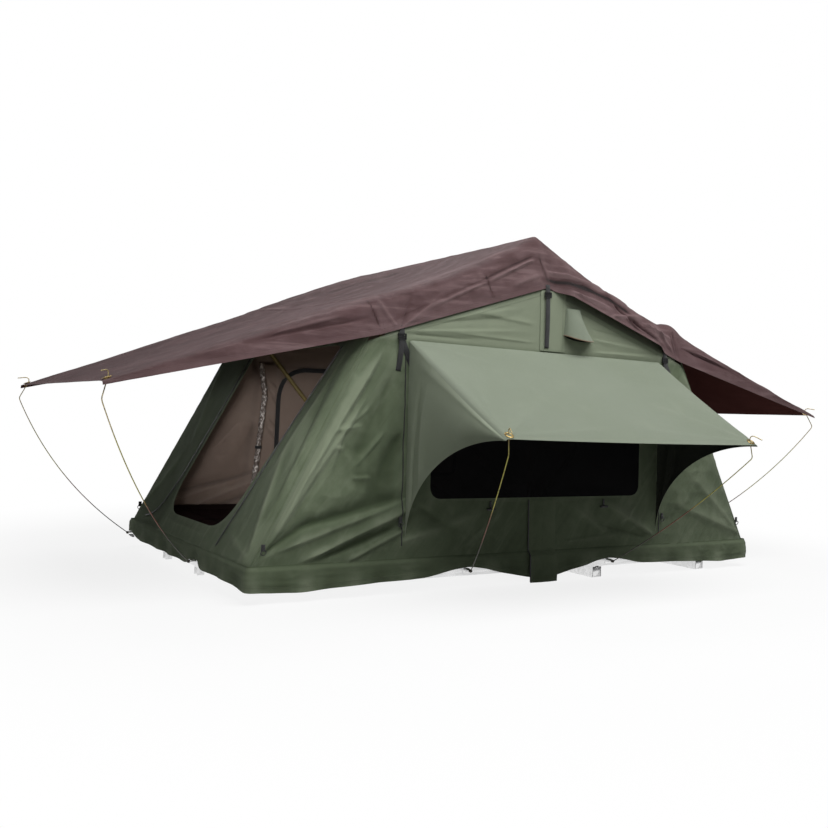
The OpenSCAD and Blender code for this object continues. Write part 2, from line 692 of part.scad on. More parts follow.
// Window awnings: sloping panel, two arched gussets and two eyelets
awning_z = floor_z + awning_seam;
awning_reach = half_w + awning_out;
awning_y = wall_out(awning_z) + touch + 0.6 * cloth_t;
awning_rise = awning_z - awning_front_z;
awning_run = awning_reach - awning_y;
awning_len = norm([awning_run, awning_rise]);
awning_fall = atan2(awning_rise, awning_run);
awning_eye_x = awning_front_x - eyelet_inset;
awning_eye_s = awning_len - eyelet_inset;
gusset_lip = 6;
gusset_turn = atan2(awning_top_x - awning_front_x, awning_run);
module awning_place() { translate([0, -awning_y, awning_z]) rotate([180 + awning_fall, 0, 0]) children(); }
module awning_eyelet_places() {
    awning_place() for (s = [-1, 1]) translate([s * awning_eye_x, awning_eye_s, cloth_t / 2]) children();
}
module gusset() {
    reach = norm([awning_run, awning_top_x - awning_front_x]);
    foot_d = wall_out(gusset_foot) + touch - awning_y;
    rx = reach - foot_d;
    below = (cloth_t + touch) / cos(awning_fall);
    rz = awning_front_z - below - gusset_lip - gusset_foot;
    arch = [for (i = [0:14]) let (w = i * 90 / 14) [reach - rx * sin(w), gusset_foot + rz * cos(w)]];
    translate([awning_top_x, -awning_y, 0]) rotate([90, 0, -90 - gusset_turn])
        translate([0, 0, -cloth_t / 2]) linear_extrude(cloth_t)
            polygon(concat([[0, awning_z - below], [reach, awning_front_z - below]], arch));
}
module awning() {
    top_x = awning_top_x + cloth_t;
    front_x = awning_front_x + cloth_t;
    difference() {
        awning_place() linear_extrude(cloth_t)
            polygon([[-top_x, 0], [top_x, 0], [front_x, awning_len], [-front_x, awning_len]]);
        awning_eyelet_places() eyelet_hole();
    }
    for (m = [0, 1]) mirror([m, 0, 0]) gusset();
    awning_eyelet_places() eyelet();
}
module near_awning() { color("#8d9780") awning(); }
module far_awning() { color("#8d9780") mirror([0, 1, 0]) awning(); }

// Sleeves that cover the fold in the long walls and end in a free flap
sleeve_gap = 8;
flap_y = half_w + skirt_flare + skirt_fold + 3 * cloth_t + 2;
module sleeve_strip(line) {
    rotate([90, 0, 90]) translate([0, 0, -sleeve_w / 2]) linear_extrude(sleeve_w)
        polygon(concat(line, [for (i = [len(line) - 1:-1:0]) line[i] + [cloth_t, 0]]));
}
module sleeve() {
    top = wall_top(sleeve_w / 2) - 4;
    sill = window_z - sleeve_gap;
    seam = awning_z + sleeve_gap;
    sleeve_strip([[wall_out(top) + touch, top], [wall_out(seam) + touch, seam]]);
    sleeve_strip([[wall_out(sill) + touch, sill], [wall_out(end_bend_z) + touch, end_bend_z],
        [flap_y, seam_z - 12], [flap_y + 3, sleeve_foot]]);
}
module centre_sleeves() { color("#7b866d") both_sides() sleeve(); }

// Vent hoods high in the long walls, beside the sleeve
vent_z = seam_z + vent_rise;
vent_x = sleeve_w / 2 + 10;
module vent_hood() {
    y0 = wall_out(vent_z) + touch;
    y1 = wall_out(vent_z + vent_h) + touch;
    translate([vent_x, 0, 0]) rotate([90, 0, 90]) linear_extrude(vent_w)
        polygon([[y0, vent_z], [y0 + vent_d, vent_z], [y1 + cloth_t, vent_z + vent_h], [y1, vent_z + vent_h]]);
}
module vent_hoods() {
    color("#7b866d") {
        mirror([0, 1, 0]) vent_hood();
        mirror([1, 0, 0]) vent_hood();
    }
}

// Skirt round three sides of each floor half, hanging in soft folds
skirt_x0 = fold_gap / 2 + 3;
corner_cut = 14;
function side_drop(x) = let (far = clamp01((abs(x) - window_rod_x) / (half_len - window_rod_x)),
    near = clamp01(1 - abs(x) / window_rod_x))
    skirt_drop + skirt_corner_drop * ease(far) + skirt_fold_drop * near * near;
skirt_level_y = far_end_rod_y + 11;
function end_drop(y) = skirt_drop
    + skirt_corner_drop * ease(clamp01((abs(y) - skirt_level_y) / (half_w - skirt_level_y)));
skirt_top_y = wall_out(seam_z) + touch;
skirt_top_x = half_len + 2 * touch + cloth_t;
// Plan points as [x, y, outward x, outward y, drop]
function skirt_side(y_sign, n) = [for (i = [0:n]) let (x = lerp(skirt_x0, half_len - corner_cut, i / n))
    [x, y_sign * skirt_top_y, 0, y_sign, side_drop(x)]];
function skirt_corner(y_sign) =
    [[skirt_top_x + touch, y_sign * (skirt_top_y + 2 * touch), 0.707, y_sign * 0.707, side_drop(half_len)]];
function skirt_end_ys(n) = concat([corner_cut - half_w],
    [for (i = [0:n]) lerp(-skirt_level_y, skirt_level_y, i / n)], [half_w - corner_cut]);
function skirt_end(n) = [for (y = skirt_end_ys(n)) [skirt_top_x, y, 1, 0, end_drop(y)]];
function flipped(list) = [for (i = [len(list) - 1:-1:0]) list[i]];
module skirt() {
    plan = concat(skirt_side(-1, 20), skirt_corner(-1), skirt_end(20), skirt_corner(1), flipped(skirt_side(1, 20)));
    // each row is [share of the drop, share of the flare, share of the fold]
    rows = [[0, 0, 0], [0.16, 0.5, 0], [0.55, 0.7, 0.4], [1, 1, 1]];
    steps = [for (i = [0:len(plan) - 2]) norm([plan[i + 1][0] - plan[i][0], plan[i + 1][1] - plan[i][1]])];
    run_at = [for (i = 0, s = 0; i < len(plan); s = s + (i < len(steps) ? steps[i] : 0), i = i + 1) s];
    sheet([for (i = [0:len(plan) - 1]) let (p = plan[i], wave = skirt_fold * sin(360 * run_at[i] / skirt_fold_pitch))
        [for (r = rows) let (out = skirt_flare * r[1] + wave * r[2])
            [p[0] + p[2] * out, p[1] + p[3] * out, seam_z + touch - p[4] * r[0]]]], cloth_t);
}
module fixed_skirt() { color("#66715a") skirt(); }
module flip_skirt() { color("#66715a") flip() skirt(); }

// Straps and ladder-lock buckles under the fly hem
strap_w = 25;
strap_t = 1.6;
strap_len = 95;
buckle_h = 22;
buckle_t = 5;
strap_gap = 4.5;
// Middle of a strap on the long wall, with the cloth that lies below it
function strap_y(z, x) = wall_out(z) + (x == 0 ? cloth_t + touch : 0) + touch;
module strap_place(x) {
    top = hem_z(x) - strap_gap;
    y = strap_y(top, x);
    translate([x, -y, top]) rotate([-wall_lean, 0, 0]) children();
}
strap_x = shoulder_x - 60;
module fly_straps() {
    color("#1a1a1b") both_sides() for (x = [-strap_x, 0, strap_x]) strap_place(x)
        translate([-strap_w / 2, -strap_t, -strap_len]) cube([strap_w, strap_t, strap_len]);
}
module buckles(x) {
    bar = 4;
    both_sides() strap_place(x) translate([0, -strap_t - touch, -buckle_h - 12]) difference() {
        translate([-strap_w / 2 - bar, -buckle_t, 0]) cube([strap_w + 2 * bar, buckle_t, buckle_h]);
        for (z = [bar, buckle_h / 2 + bar / 2]) translate([-strap_w / 2, -buckle_t - cut, z])
            cube([strap_w, buckle_t + 2 * cut, buckle_h / 2 - 1.5 * bar]);
    }
}
module ridge_buckles() { color("#111112") buckles(0); }
module left_buckles() { color("#111112") buckles(-strap_x); }
module right_buckles() { color("#111112") buckles(strap_x); }

// Spring rods with a ball foot, a bowed shank, a kink and a hook through the eyelet
kink_out = 10;
kink_drop = 50;
hook_rise = 10;
hook_turn = 190;
bend_leg = 9;
formed_r = rod_r + 0.06;   // formed bends are a little fuller than the drawn bar
bar_lap = 0.6;             // the bar runs this far into a formed bend
function heading(a) = [cos(a), sin(a)];
module arc_bar(centre, r, a0, a1, bar_r) {
    translate([centre[0], 0, centre[1]]) rotate([90, 0, 0]) rotate([0, 0, a0])
        rotate_extrude(angle = a1 - a0) translate([r, 0]) circle(bar_r);
}
module straight_bar(a, b) {
    d = b - a;
    h = norm(d);
    translate([a[0], 0, a[1]]) rotate([0, atan2(d[0], d[1]), 0]) translate([0, 0, -bar_lap])
        cylinder(r = rod_r, h = h + 2 * bar_lap);
}
module rod(foot, eye, bow) {
    run_xy = [eye[0] - foot[0], eye[1] - foot[1]];
    top = [norm(run_xy), eye[2] - foot[2]];
    knee = top + [kink_out, -kink_drop];
    // bowed shank: an arc from the ball to the knee
    chord = norm(knee);
    radius = (chord * chord / 4 + bow * bow) / (2 * bow);
    tilt = atan2(knee[1], knee[0]);
    centre = knee / 2 + (radius - bow) * heading(tilt + 90);
    half_turn = asin(chord / 2 / radius);
    lap_turn = bar_lap / radius * 180 / PI;
    // tight bend that turns the shank towards the eyelet
    out = tilt + half_turn;
    corner = knee + bend_leg * heading(out);
    lean = atan2(top[1] - corner[1], top[0] - corner[0]);
    bend_r = bend_leg / tan((lean - out) / 2);
    bend = knee + bend_r * heading(out + 90);
    neck = top + hook_rise * heading(lean);
    hook = neck + hook_r * heading(lean - 90);
    translate(foot) rotate([0, 0, atan2(run_xy[1], run_xy[0])]) union() {
        rotate([0, 0, 90]) sphere(ball_r);
        arc_bar(centre, radius, tilt - 90 - half_turn, tilt - 90 + half_turn + lap_turn, rod_r);
        arc_bar(bend, bend_r, out - 90, lean - 90, formed_r);
        straight_bar(corner + bend_leg * heading(lean), neck);
        arc_bar(hook, hook_r, lean + 90 - hook_turn, lean + 90, formed_r);
    }
}
window_foot = [window_rod_x, -half_w - rod_standoff, rod_foot_z];
window_eye = [awning_eye_x,
    -awning_y - awning_eye_s * cos(awning_fall) + cloth_t / 2 * sin(awning_fall),
    awning_z - awning_eye_s * sin(awning_fall) - cloth_t / 2 * cos(awning_fall)];
near_end_foot = [half_len + rod_standoff, near_end_rod_y, rod_foot_z];
far_end_foot = [half_len + rod_standoff, far_end_rod_y, rod_foot_z];
near_end_eye = [eyelet_x, -eyelet_y, crest_z(eyelet_x)];
far_end_eye = [eyelet_x, eyelet_y, crest_z(eyelet_x)];
module window_rod() { color("#a98a45") rod(window_foot, window_eye, window_rod_bow); }
module near_end_rod() { color("#a98a45") rod(near_end_foot, near_end_eye, end_rod_bow); }
module far_end_rod() { color("#a98a45") rod(far_end_foot, far_end_eye, end_rod_bow); }
module fixed_near_window_rod() { window_rod(); }
module fixed_far_window_rod() { mirror([0, 1, 0]) window_rod(); }
module flip_near_window_rod() { flip() window_rod(); }
module flip_far_window_rod() { flip() mirror([0, 1, 0]) window_rod(); }
module fixed_near_end_rod() { near_end_rod(); }
module fixed_far_end_rod() { far_end_rod(); }
module flip_near_end_rod() { flip() near_end_rod(); }
module flip_far_end_rod() { flip() far_end_rod(); }

// Ball cups on the frame for the rod feet
cup_r = 8;
cup_plate = 3;
cup_rim = rod_r + 0.7;
module rod_socket() {
    half_plate = 13;
    difference() {
        union() {
            translate([-half_plate, 0, -half_plate]) cube([2 * half_plate, cup_plate, 2 * half_plate]);
            rotate([-90, 0, 0]) cylinder(r = cup_r, h = rod_standoff - cup_rim);
        }
        translate([0, rod_standoff, 0]) sphere(ball_r + fit);
    }
}
module rod_sockets() {
    both_sides() translate([window_rod_x, half_w, rod_foot_z]) rod_socket();
    for (y = [near_end_rod_y, far_end_rod_y]) translate([half_len, y, rod_foot_z]) rotate([0, 0, -90]) rod_socket();
}
module fixed_rod_sockets() { color("#26272a") rod_sockets(); }
module flip_rod_sockets() { color("#26272a") flip() rod_sockets(); }

// Clevises under the end rail of the flip half, where a ladder is bolted on
module ladder_brackets() {
    drop = 30;
    depth = frame_w;
    ear = ladder_clevis / 2 + ladder_t;
    color("#a2a5a8") flip() both_sides() translate([half_len - depth, ladder_w / 2, rail_h]) difference() {
        translate([0, -ear, -drop]) cube([depth, 2 * ear, drop]);
        translate([-cut, -ladder_clevis / 2, -drop - cut])
            cube([depth + 2 * cut, ladder_clevis, drop - ladder_t + cut]);
        translate([depth / 2, 0, -drop / 2 - ladder_t / 2]) rotate([90, 0, 0])
            cylinder(d = ladder_bolt_d, h = 2 * ear + 2 * cut, center = true);
    }
}

fixed_floor_panel();
fixed_side_rails();
fixed_end_rail();
fixed_hinge_rail();
fixed_corner_caps();
fixed_clamp_strips();
mounting_rails();
rail_fasteners();
fixed_hinge_brackets();
fixed_hinge_screws();
pivot_bolts();
pivot_nuts();
fixed_mattress();
fixed_rod_sockets();
fixed_skirt();
fixed_side_walls();
fixed_end_wall();
fixed_roof();
flip_floor_panel();
flip_side_rails();
flip_end_rail();
flip_hinge_rail();
flip_corner_caps();
flip_clamp_strips();
flip_hinge_brackets();
flip_hinge_screws();
flip_mattress();
flip_rod_sockets();
ladder_brackets();
flip_skirt();
flip_side_walls();
door_wall();
flip_roof();
door_roll();
ridge_hoop();
ridge_hoop_feet();
left_hoop();
left_hoop_feet();
right_hoop();
right_hoop_feet();
window_meshes();
rain_fly();
near_awning();
far_awning();
centre_sleeves();
vent_hoods();
fly_straps();
ridge_buckles();
left_buckles();
right_buckles();
fixed_near_window_rod();
fixed_far_window_rod();
fixed_near_end_rod();
fixed_far_end_rod();
flip_near_window_rod();
flip_far_window_rod();
flip_near_end_rod();
flip_far_end_rod();
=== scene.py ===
import math
import bmesh
import bpy
import numpy as np
from mathutils import Matrix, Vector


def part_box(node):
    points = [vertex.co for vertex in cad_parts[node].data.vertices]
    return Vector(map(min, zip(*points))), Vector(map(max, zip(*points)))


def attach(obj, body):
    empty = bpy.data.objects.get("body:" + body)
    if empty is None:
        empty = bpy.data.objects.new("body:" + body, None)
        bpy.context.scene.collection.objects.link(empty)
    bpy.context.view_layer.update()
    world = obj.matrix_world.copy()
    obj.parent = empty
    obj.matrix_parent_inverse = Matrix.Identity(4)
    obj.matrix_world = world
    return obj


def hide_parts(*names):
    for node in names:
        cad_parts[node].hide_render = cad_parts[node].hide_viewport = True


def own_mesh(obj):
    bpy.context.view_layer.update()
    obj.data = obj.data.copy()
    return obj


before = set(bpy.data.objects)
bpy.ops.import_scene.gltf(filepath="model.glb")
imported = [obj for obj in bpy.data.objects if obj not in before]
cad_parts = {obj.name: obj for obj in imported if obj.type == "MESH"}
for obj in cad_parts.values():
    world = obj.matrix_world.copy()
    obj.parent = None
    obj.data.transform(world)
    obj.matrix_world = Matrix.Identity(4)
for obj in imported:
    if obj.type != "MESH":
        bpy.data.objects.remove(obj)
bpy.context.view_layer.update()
print("frame loaded with", len(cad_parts), "nodes")

# sizes shared by the cloth, in metres, as in the part's source
tent = {
    "halfLength": 1.19, "halfWidth": 0.69, "floorZ": 0.11, "seamZ": 0.12, "bendZ": 0.124,
    "shoulderX": 0.71052, "shoulderZ": 1.00968, "ridgeZ": 1.32, "hoopRadius": 0.0095,
    "lean": math.radians(1.3), "cloth": 0.003, "gap": 0.0004, "sag": 0.028, "wallKeep": 0.07,
}
endRun = tent["halfLength"] + tent["gap"] - tent["shoulderX"]
endRise = tent["shoulderZ"] - tent["bendZ"]
endTurn = math.asin((tent["hoopRadius"] + tent["gap"]) / math.hypot(endRun, endRise))
endAngle = math.atan2(endRise, endRun) + endTurn
endSin, endCos = math.sin(endAngle), math.cos(endAngle)
quarters = [(1, -1), (1, 1), (-1, -1), (-1, 1)]     # fixed or flip half, near or far side


def halfOf(half):
    return "fixed" if half > 0 else "flip"


def bodyOf(half):
    return halfOf(half) + "_base"


def sideOf(side):
    return "Near" if side < 0 else "Far"


def tagOf(half, side):
    return halfOf(half).capitalize() + sideOf(side)


# numpy helpers

def mix(a, b, t):
    return a + (b - a) * t


def ease(t):
    t = np.clip(t, 0, 1)
    return t * t * (3 - 2 * t)


def unit(v):
    return v / np.linalg.norm(v, axis=-1, keepdims=True)


def lattice(n, m):
    # shares from 0 to 1 down the columns and along the rows of a grid
    return np.linspace(0, 1, n)[:, None], np.linspace(0, 1, m)[None, :]


def cloud(x, y, cell, seed):
    # smooth random field: seeded numbers on a lattice, blended by an eased step between lattice points
    table = np.random.default_rng(seed).uniform(-1, 1, (64, 64))
    gx, gy = np.asarray(x) / cell, np.asarray(y) / cell
    ix, iy = np.floor(gx).astype(int), np.floor(gy).astype(int)
    tx, ty = ease(gx - ix), ease(gy - iy)
    pick = lambda i, j: table[i % 64, j % 64]
    return mix(mix(pick(ix, iy), pick(ix + 1, iy), tx), mix(pick(ix, iy + 1), pick(ix + 1, iy + 1), tx), ty)


def creases(x, y, lines):
    # each crease lifts the cloth by a crested bell of the distance to its line: steep on one side, gentle on
    # the other, widening from root to end and fading there
    total = np.zeros_like(x)
    for x0, y0, x1, y1, width, height, *skew in lines:
        dx, dy = x1 - x0, y1 - y0
        length = math.hypot(dx, dy)
        along = ((x - x0) * dx + (y - y0) * dy) / length ** 2
        across = ((x - x0) * dy - (y - y0) * dx) / length
        steep = 1 + (skew[0] if skew else 0.35) * np.tanh(across / width * 3)
        off = (across / (width * (0.45 + 0.55 * np.clip(along, 0, 1.3)) * steep)) ** 2
        crest = 0.45 * np.exp(-off) + 0.55 * np.exp(-1.9 * np.sqrt(off + 0.02))
        total += height * crest * ease((along + 0.06) / 0.22) * ease((1.12 - along) / 0.4)
    return total


def crumple(x, y, size, seed):
    # sharp little folds: ridged noise, one minus the absolute value of a smooth field, in two sizes
    a = 1 - np.abs(cloud(x + 0.3 * size * cloud(x, y, size, seed + 7), y, size, seed)) * 2
    b = 1 - np.abs(cloud(x, y, size * 0.45, seed + 3)) * 2
    return 0.7 * a + 0.3 * b


def running(line):
    # length along a line up to each of its points
    return np.concatenate([[0], np.cumsum(np.linalg.norm(np.diff(line, axis=0), axis=1))])


def resample(line, count):
    # points at even distances along a line
    step = running(line)
    at = np.linspace(0, step[-1], count)
    return np.stack([np.interp(at, step, line[:, k]) for k in range(line.shape[1])], -1)


def joinRuns(runs, counts, closed=False):
    # one line out of several runs, each with its own count of even points
    lines = [resample(np.asarray(run, float), count) for run, count in zip(runs, counts)]
    return np.concatenate([line[:-1] for line in lines] + ([] if closed else [lines[-1][-1:]]))


def roundedRun(corners, radii, counts):
    # straight runs whose corners are quarter bends: each run ends at the tangent points of its corner arcs
    corners = np.asarray(corners, float)
    out = []
    last = corners[0]
    t = np.linspace(0, 1, 10, endpoint=False)[:, None]
    for a, b, c, r, count in zip(corners[:-2], corners[1:-1], corners[2:], radii, counts):
        p, q = b + unit(a - b) * r, b + unit(c - b) * r
        out.append(mix(last, p, np.linspace(0, 1, count, endpoint=False)[:, None]))
        out.append((1 - t) ** 2 * p + 2 * t * (1 - t) * b + t * t * q)
        last = q
    out.append(mix(last, corners[-1], np.linspace(0, 1, counts[-1])[:, None]))
    return np.concatenate(out)


def smooth(line, kernel):
    # running mean of each coordinate, with the ends held
    pad = len(kernel) // 2
    soft = [np.convolve(np.pad(c, pad, mode="edge"), kernel / kernel.sum(), "valid") for c in line.T]
    return np.stack(soft, -1)


def gridNormals(points):
    # cross product of the two grid directions at every point
    n = np.cross(np.gradient(points, axis=0), np.gradient(points, axis=1))
    return n / np.maximum(np.linalg.norm(n, axis=2, keepdims=True), 1e-9)


def arcLengths(points):
    # running length along rows and along columns
    du = np.linalg.norm(np.diff(points, axis=0), axis=2)
    dv = np.linalg.norm(np.diff(points, axis=1), axis=2)
    u = np.concatenate([np.zeros((1, points.shape[1])), np.cumsum(du, 0)])
    v = np.concatenate([np.zeros((points.shape[0], 1)), np.cumsum(dv, 1)], 1)
    return u, v


def flatSize(points):
    return tuple(float(a.max()) for a in arcLengths(points))


def gridArea(points):
    a = points[1:, 1:] - points[:-1, :-1]
    b = points[1:, :-1] - points[:-1, 1:]
    return float(np.linalg.norm(np.cross(a, b), axis=2).sum() / 2)


# meshes

def dressMesh(mesh, uv, marks):
    # running lengths as UV, named point attributes and smooth faces
    loops = np.empty(len(mesh.loops), np.int32)
    mesh.loops.foreach_get("vertex_index", loops)
    layer = mesh.uv_layers.get("lay") or mesh.uv_layers.new(name="lay")
    layer.data.foreach_set("uv", uv[loops].astype(np.float32).ravel())
    for key, value in marks.items():
        mesh.attributes.new(key, "FLOAT", "POINT").data.foreach_set("value", value.astype(np.float32).ravel())
    mesh.polygons.foreach_set("use_smooth", np.ones(len(mesh.polygons), bool))
    mesh.update()


def newObject(name, data):
    made = bpy.data.objects.new(name, data)
    bpy.context.collection.objects.link(made)
    return made


def gridPiece(name, points, facing=None, closed=False, fold=0.0, hem=1.0):
    # quads between neighbouring grid points; fold and hem become point attributes that the cloth reads, fold
    # as painted highlight and shade
    n, m = points.shape[:2]
    r, c = np.meshgrid(np.arange(n if closed else n - 1), np.arange(m - 1), indexing="ij")
    a, b = r * m + c, ((r + 1) % n) * m + c
    quads = np.stack([a, b, b + 1, a + 1], -1).reshape(-1, 4)
    if facing is not None:
        p = points.reshape(-1, 3)
        turn = np.cross(p[quads[:, 2]] - p[quads[:, 0]], p[quads[:, 3]] - p[quads[:, 1]])
        if (turn @ np.asarray(facing, float)).sum() < 0:
            quads = quads[:, ::-1]
    mesh = bpy.data.meshes.new(name)
    mesh.from_pydata(points.reshape(-1, 3).tolist(), [], quads.tolist())
    marks = {"fold": np.broadcast_to(fold, (n, m)), "hem": np.broadcast_to(hem, (n, m))}
    dressMesh(mesh, np.stack(arcLengths(points), -1).reshape(-1, 2), marks)
    return newObject(name, mesh)


def weldedPiece(name, points):
    # grid whose doubled points are merged, with its faces turned outwards
    piece = gridPiece(name, points)
    weld(piece)
    return piece


def weld(piece):
    bm = bmesh.new()
    bm.from_mesh(piece.data)
    bmesh.ops.remove_doubles(bm, verts=bm.verts, dist=1e-6)
    bmesh.ops.dissolve_degenerate(bm, edges=bm.edges, dist=1e-7)
    bmesh.ops.recalc_face_normals(bm, faces=bm.faces)
    bm.to_mesh(piece.data)
    bm.free()


def capEnds(path, points):
    # shut a swept shape with rings that shrink to the ends of its path
    count = points.shape[1]
    return np.concatenate([np.repeat(path[:1, None], count, 1), points, np.repeat(path[-1:, None], count, 1)])


def tubePiece(name, path, radius, sides=10, side=(0, 0, 1), capped=True):
    # circle of the given radius carried along the path; its frame follows the tangent and a fixed side vector
    path = np.asarray(path, float)
    t = unit(np.gradient(path, axis=0))
    a = np.cross(t, np.asarray(side, float))
    weak = np.linalg.norm(a, axis=1) < 1e-3
    a[weak] = np.cross(t[weak], [1.0, 0.3, 0])
    a = unit(a)
    b = np.cross(t, a)
    w = np.linspace(0, 2 * np.pi, sides + 1)[None, :, None]
    radius = np.broadcast_to(np.asarray(radius, float), len(path))[:, None, None]
    points = path[:, None] + (a[:, None] * np.cos(w) + b[:, None] * np.sin(w)) * radius
    return weldedPiece(name, capEnds(path, points) if capped else points)


ribbonSection = np.array([(-1, -0.5), (-0.96, -1), (0.96, -1), (1, -0.5), (1, 0.5), (0.96, 1), (-0.96, 1),
                          (-1, 0.5), (-1, -0.5)])


def ribbon(name, path, across, width, thickness=0.0016):
    # flat strap: a slim rounded rectangle carried along the path, its width along the given direction
    path = np.asarray(path, float)
    t = unit(np.gradient(path, axis=0))
    a = np.broadcast_to(np.asarray(across, float), path.shape)
    a = unit(a - (a * t).sum(1, keepdims=True) * t)
    b = np.cross(t, a)
    ring = (ribbonSection * (width / 2, thickness / 2))[None]
    points = path[:, None] + a[:, None] * ring[..., :1] + b[:, None] * ring[..., 1:]
    return weldedPiece(name, capEnds(path, points))


def joinPieces(name, pieces):
    # one object from several meshes, all at the origin
    for piece in bpy.context.selected_objects:
        piece.select_set(False)
    for piece in pieces:
        piece.select_set(True)
    bpy.context.view_layer.objects.active = pieces[0]
    if len(pieces) > 1:
        bpy.ops.object.join()
    pieces[0].name = name
    pieces[0].data.name = name
    return pieces[0]


def thicken(piece, thickness, lining=False):
    # give the sheet its thickness inwards; rims stay sharp, and the inner face takes the second material
    faces = len(piece.data.polygons)
    skin = piece.modifiers.new("thickness", "SOLIDIFY")
    skin.thickness = thickness
    skin.offset = -1.0
    mesh = bpy.data.meshes.new_from_object(piece.evaluated_get(bpy.context.evaluated_depsgraph_get()))
    piece.modifiers.clear()
    old, piece.data = piece.data, mesh
    bpy.data.meshes.remove(old)
    mesh.name = piece.name
    side = np.zeros(len(mesh.polygons), np.int32)
    side[faces:2 * faces] = 1 if lining else 0
    mesh.polygons.foreach_set("material_index", side)
    mesh.set_sharp_from_angle(angle=0.9)


def finishPiece(piece, materials, body, slot, *nodes):
    for material in materials if isinstance(materials, list) else [materials]:
        piece.data.materials.append(material)
    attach(piece, body)
    if nodes:
        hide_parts(*nodes)


def dropToFrame(*pieces):
    # what hangs on the long walls gets a mesh of its own
    for piece in pieces:
        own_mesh(piece)


# shader helpers: a value wraps a socket, and arithmetic on values adds nodes

class Val:
    def __init__(self, shade, socket):
        self.shade, self.socket = shade, socket

    def __add__(self, other):
        return self.shade.math("ADD", self, other)

    def __sub__(self, other):
        return self.shade.math("SUBTRACT", self, other)

    def __rsub__(self, other):
        return self.shade.math("SUBTRACT", other, self)

    def __mul__(self, other):
        return self.shade.math("MULTIPLY", self, other)

    def __lt__(self, other):
        return self.shade.math("LESS_THAN", self, other)

    __radd__, __rmul__ = __add__, __mul__

    def sin(self):
        return self.shade.math("SINE", self, 0.0)

    def abs(self):
        return self.shade.math("ABSOLUTE", self, 0.0)

    def power(self, other):
        return self.shade.math("POWER", self, other)

    def ramp(self, low, high, to0=0.0, to1=1.0):
        return self.shade.node("ShaderNodeMapRange", {"interpolation_type": "SMOOTHSTEP"},
                               {0: self, 1: low, 2: high, 3: to0, 4: to1})


socketNames = {
    "color": "Base Color", "rough": "Roughness", "metal": "Metallic", "normal": "Normal", "alpha": "Alpha",
    "sheen": "Sheen Weight", "sheenRough": "Sheen Roughness", "specular": "Specular IOR Level",
}


class Shade:
    def __init__(self, name):
        self.material = bpy.data.materials.new(name)
        self.material.use_nodes = True
        self.tree = self.material.node_tree
        self.tree.nodes.clear()
        self.skin = self.tree.nodes.new("ShaderNodeBsdfPrincipled")
        self.out = self.tree.nodes.new("ShaderNodeOutputMaterial")
        self.tree.links.new(self.skin.outputs[0], self.out.inputs[0])

    def feed(self, socket, value):
        if isinstance(value, Val):
            self.tree.links.new(value.socket, socket)
        else:
            socket.default_value = value

    def node(self, kind, setup=None, feeds=None, out=0):
        made = self.tree.nodes.new(kind)
        for key, value in (setup or {}).items():
            setattr(made, key, value)
        for key, value in (feeds or {}).items():
            self.feed(made.inputs[key], value)
        return Val(self, made.outputs[out])

    def math(self, operation, a, b):
        return self.node("ShaderNodeMath", {"operation": operation}, {0: a, 1: b})

    def split(self, vector):
        parts = self.tree.nodes.new("ShaderNodeSeparateXYZ")
        self.feed(parts.inputs[0], vector)
        return [Val(self, socket) for socket in parts.outputs]

    def place(self):
        return self.node("ShaderNodeTexCoord", out="Object")

    def axes(self):
        return self.split(self.place())

    def lay(self):
        return self.split(self.node("ShaderNodeUVMap", {"uv_map": "lay"}))[:2]

    def mark(self, name):
        return self.node("ShaderNodeAttribute", {"attribute_name": name}, out="Fac")

    def noise(self, scale, detail=3.0, rough=0.5, vector=None, stretch=None):
        vector = vector or self.place()
        if stretch:
            vector = self.node("ShaderNodeMapping", None, {"Vector": vector, "Scale": stretch})
        return self.node("ShaderNodeTexNoise", None,
                         {"Vector": vector, "Scale": scale, "Detail": detail, "Roughness": rough})

    def tint(self, amount, a, b):
        a = a if isinstance(a, Val) else (*a, 1.0)
        b = b if isinstance(b, Val) else (*b, 1.0)
        return self.node("ShaderNodeMix", {"data_type": "RGBA"}, {0: amount, 6: a, 7: b}, out=2)

    def bump(self, height, strength, distance):
        return self.node("ShaderNodeBump", None,
                         {"Strength": strength, "Distance": distance, "Height": height})

    def set(self, **values):
        for key, value in values.items():
            self.feed(self.skin.inputs[socketNames[key]], value)
        return self.material


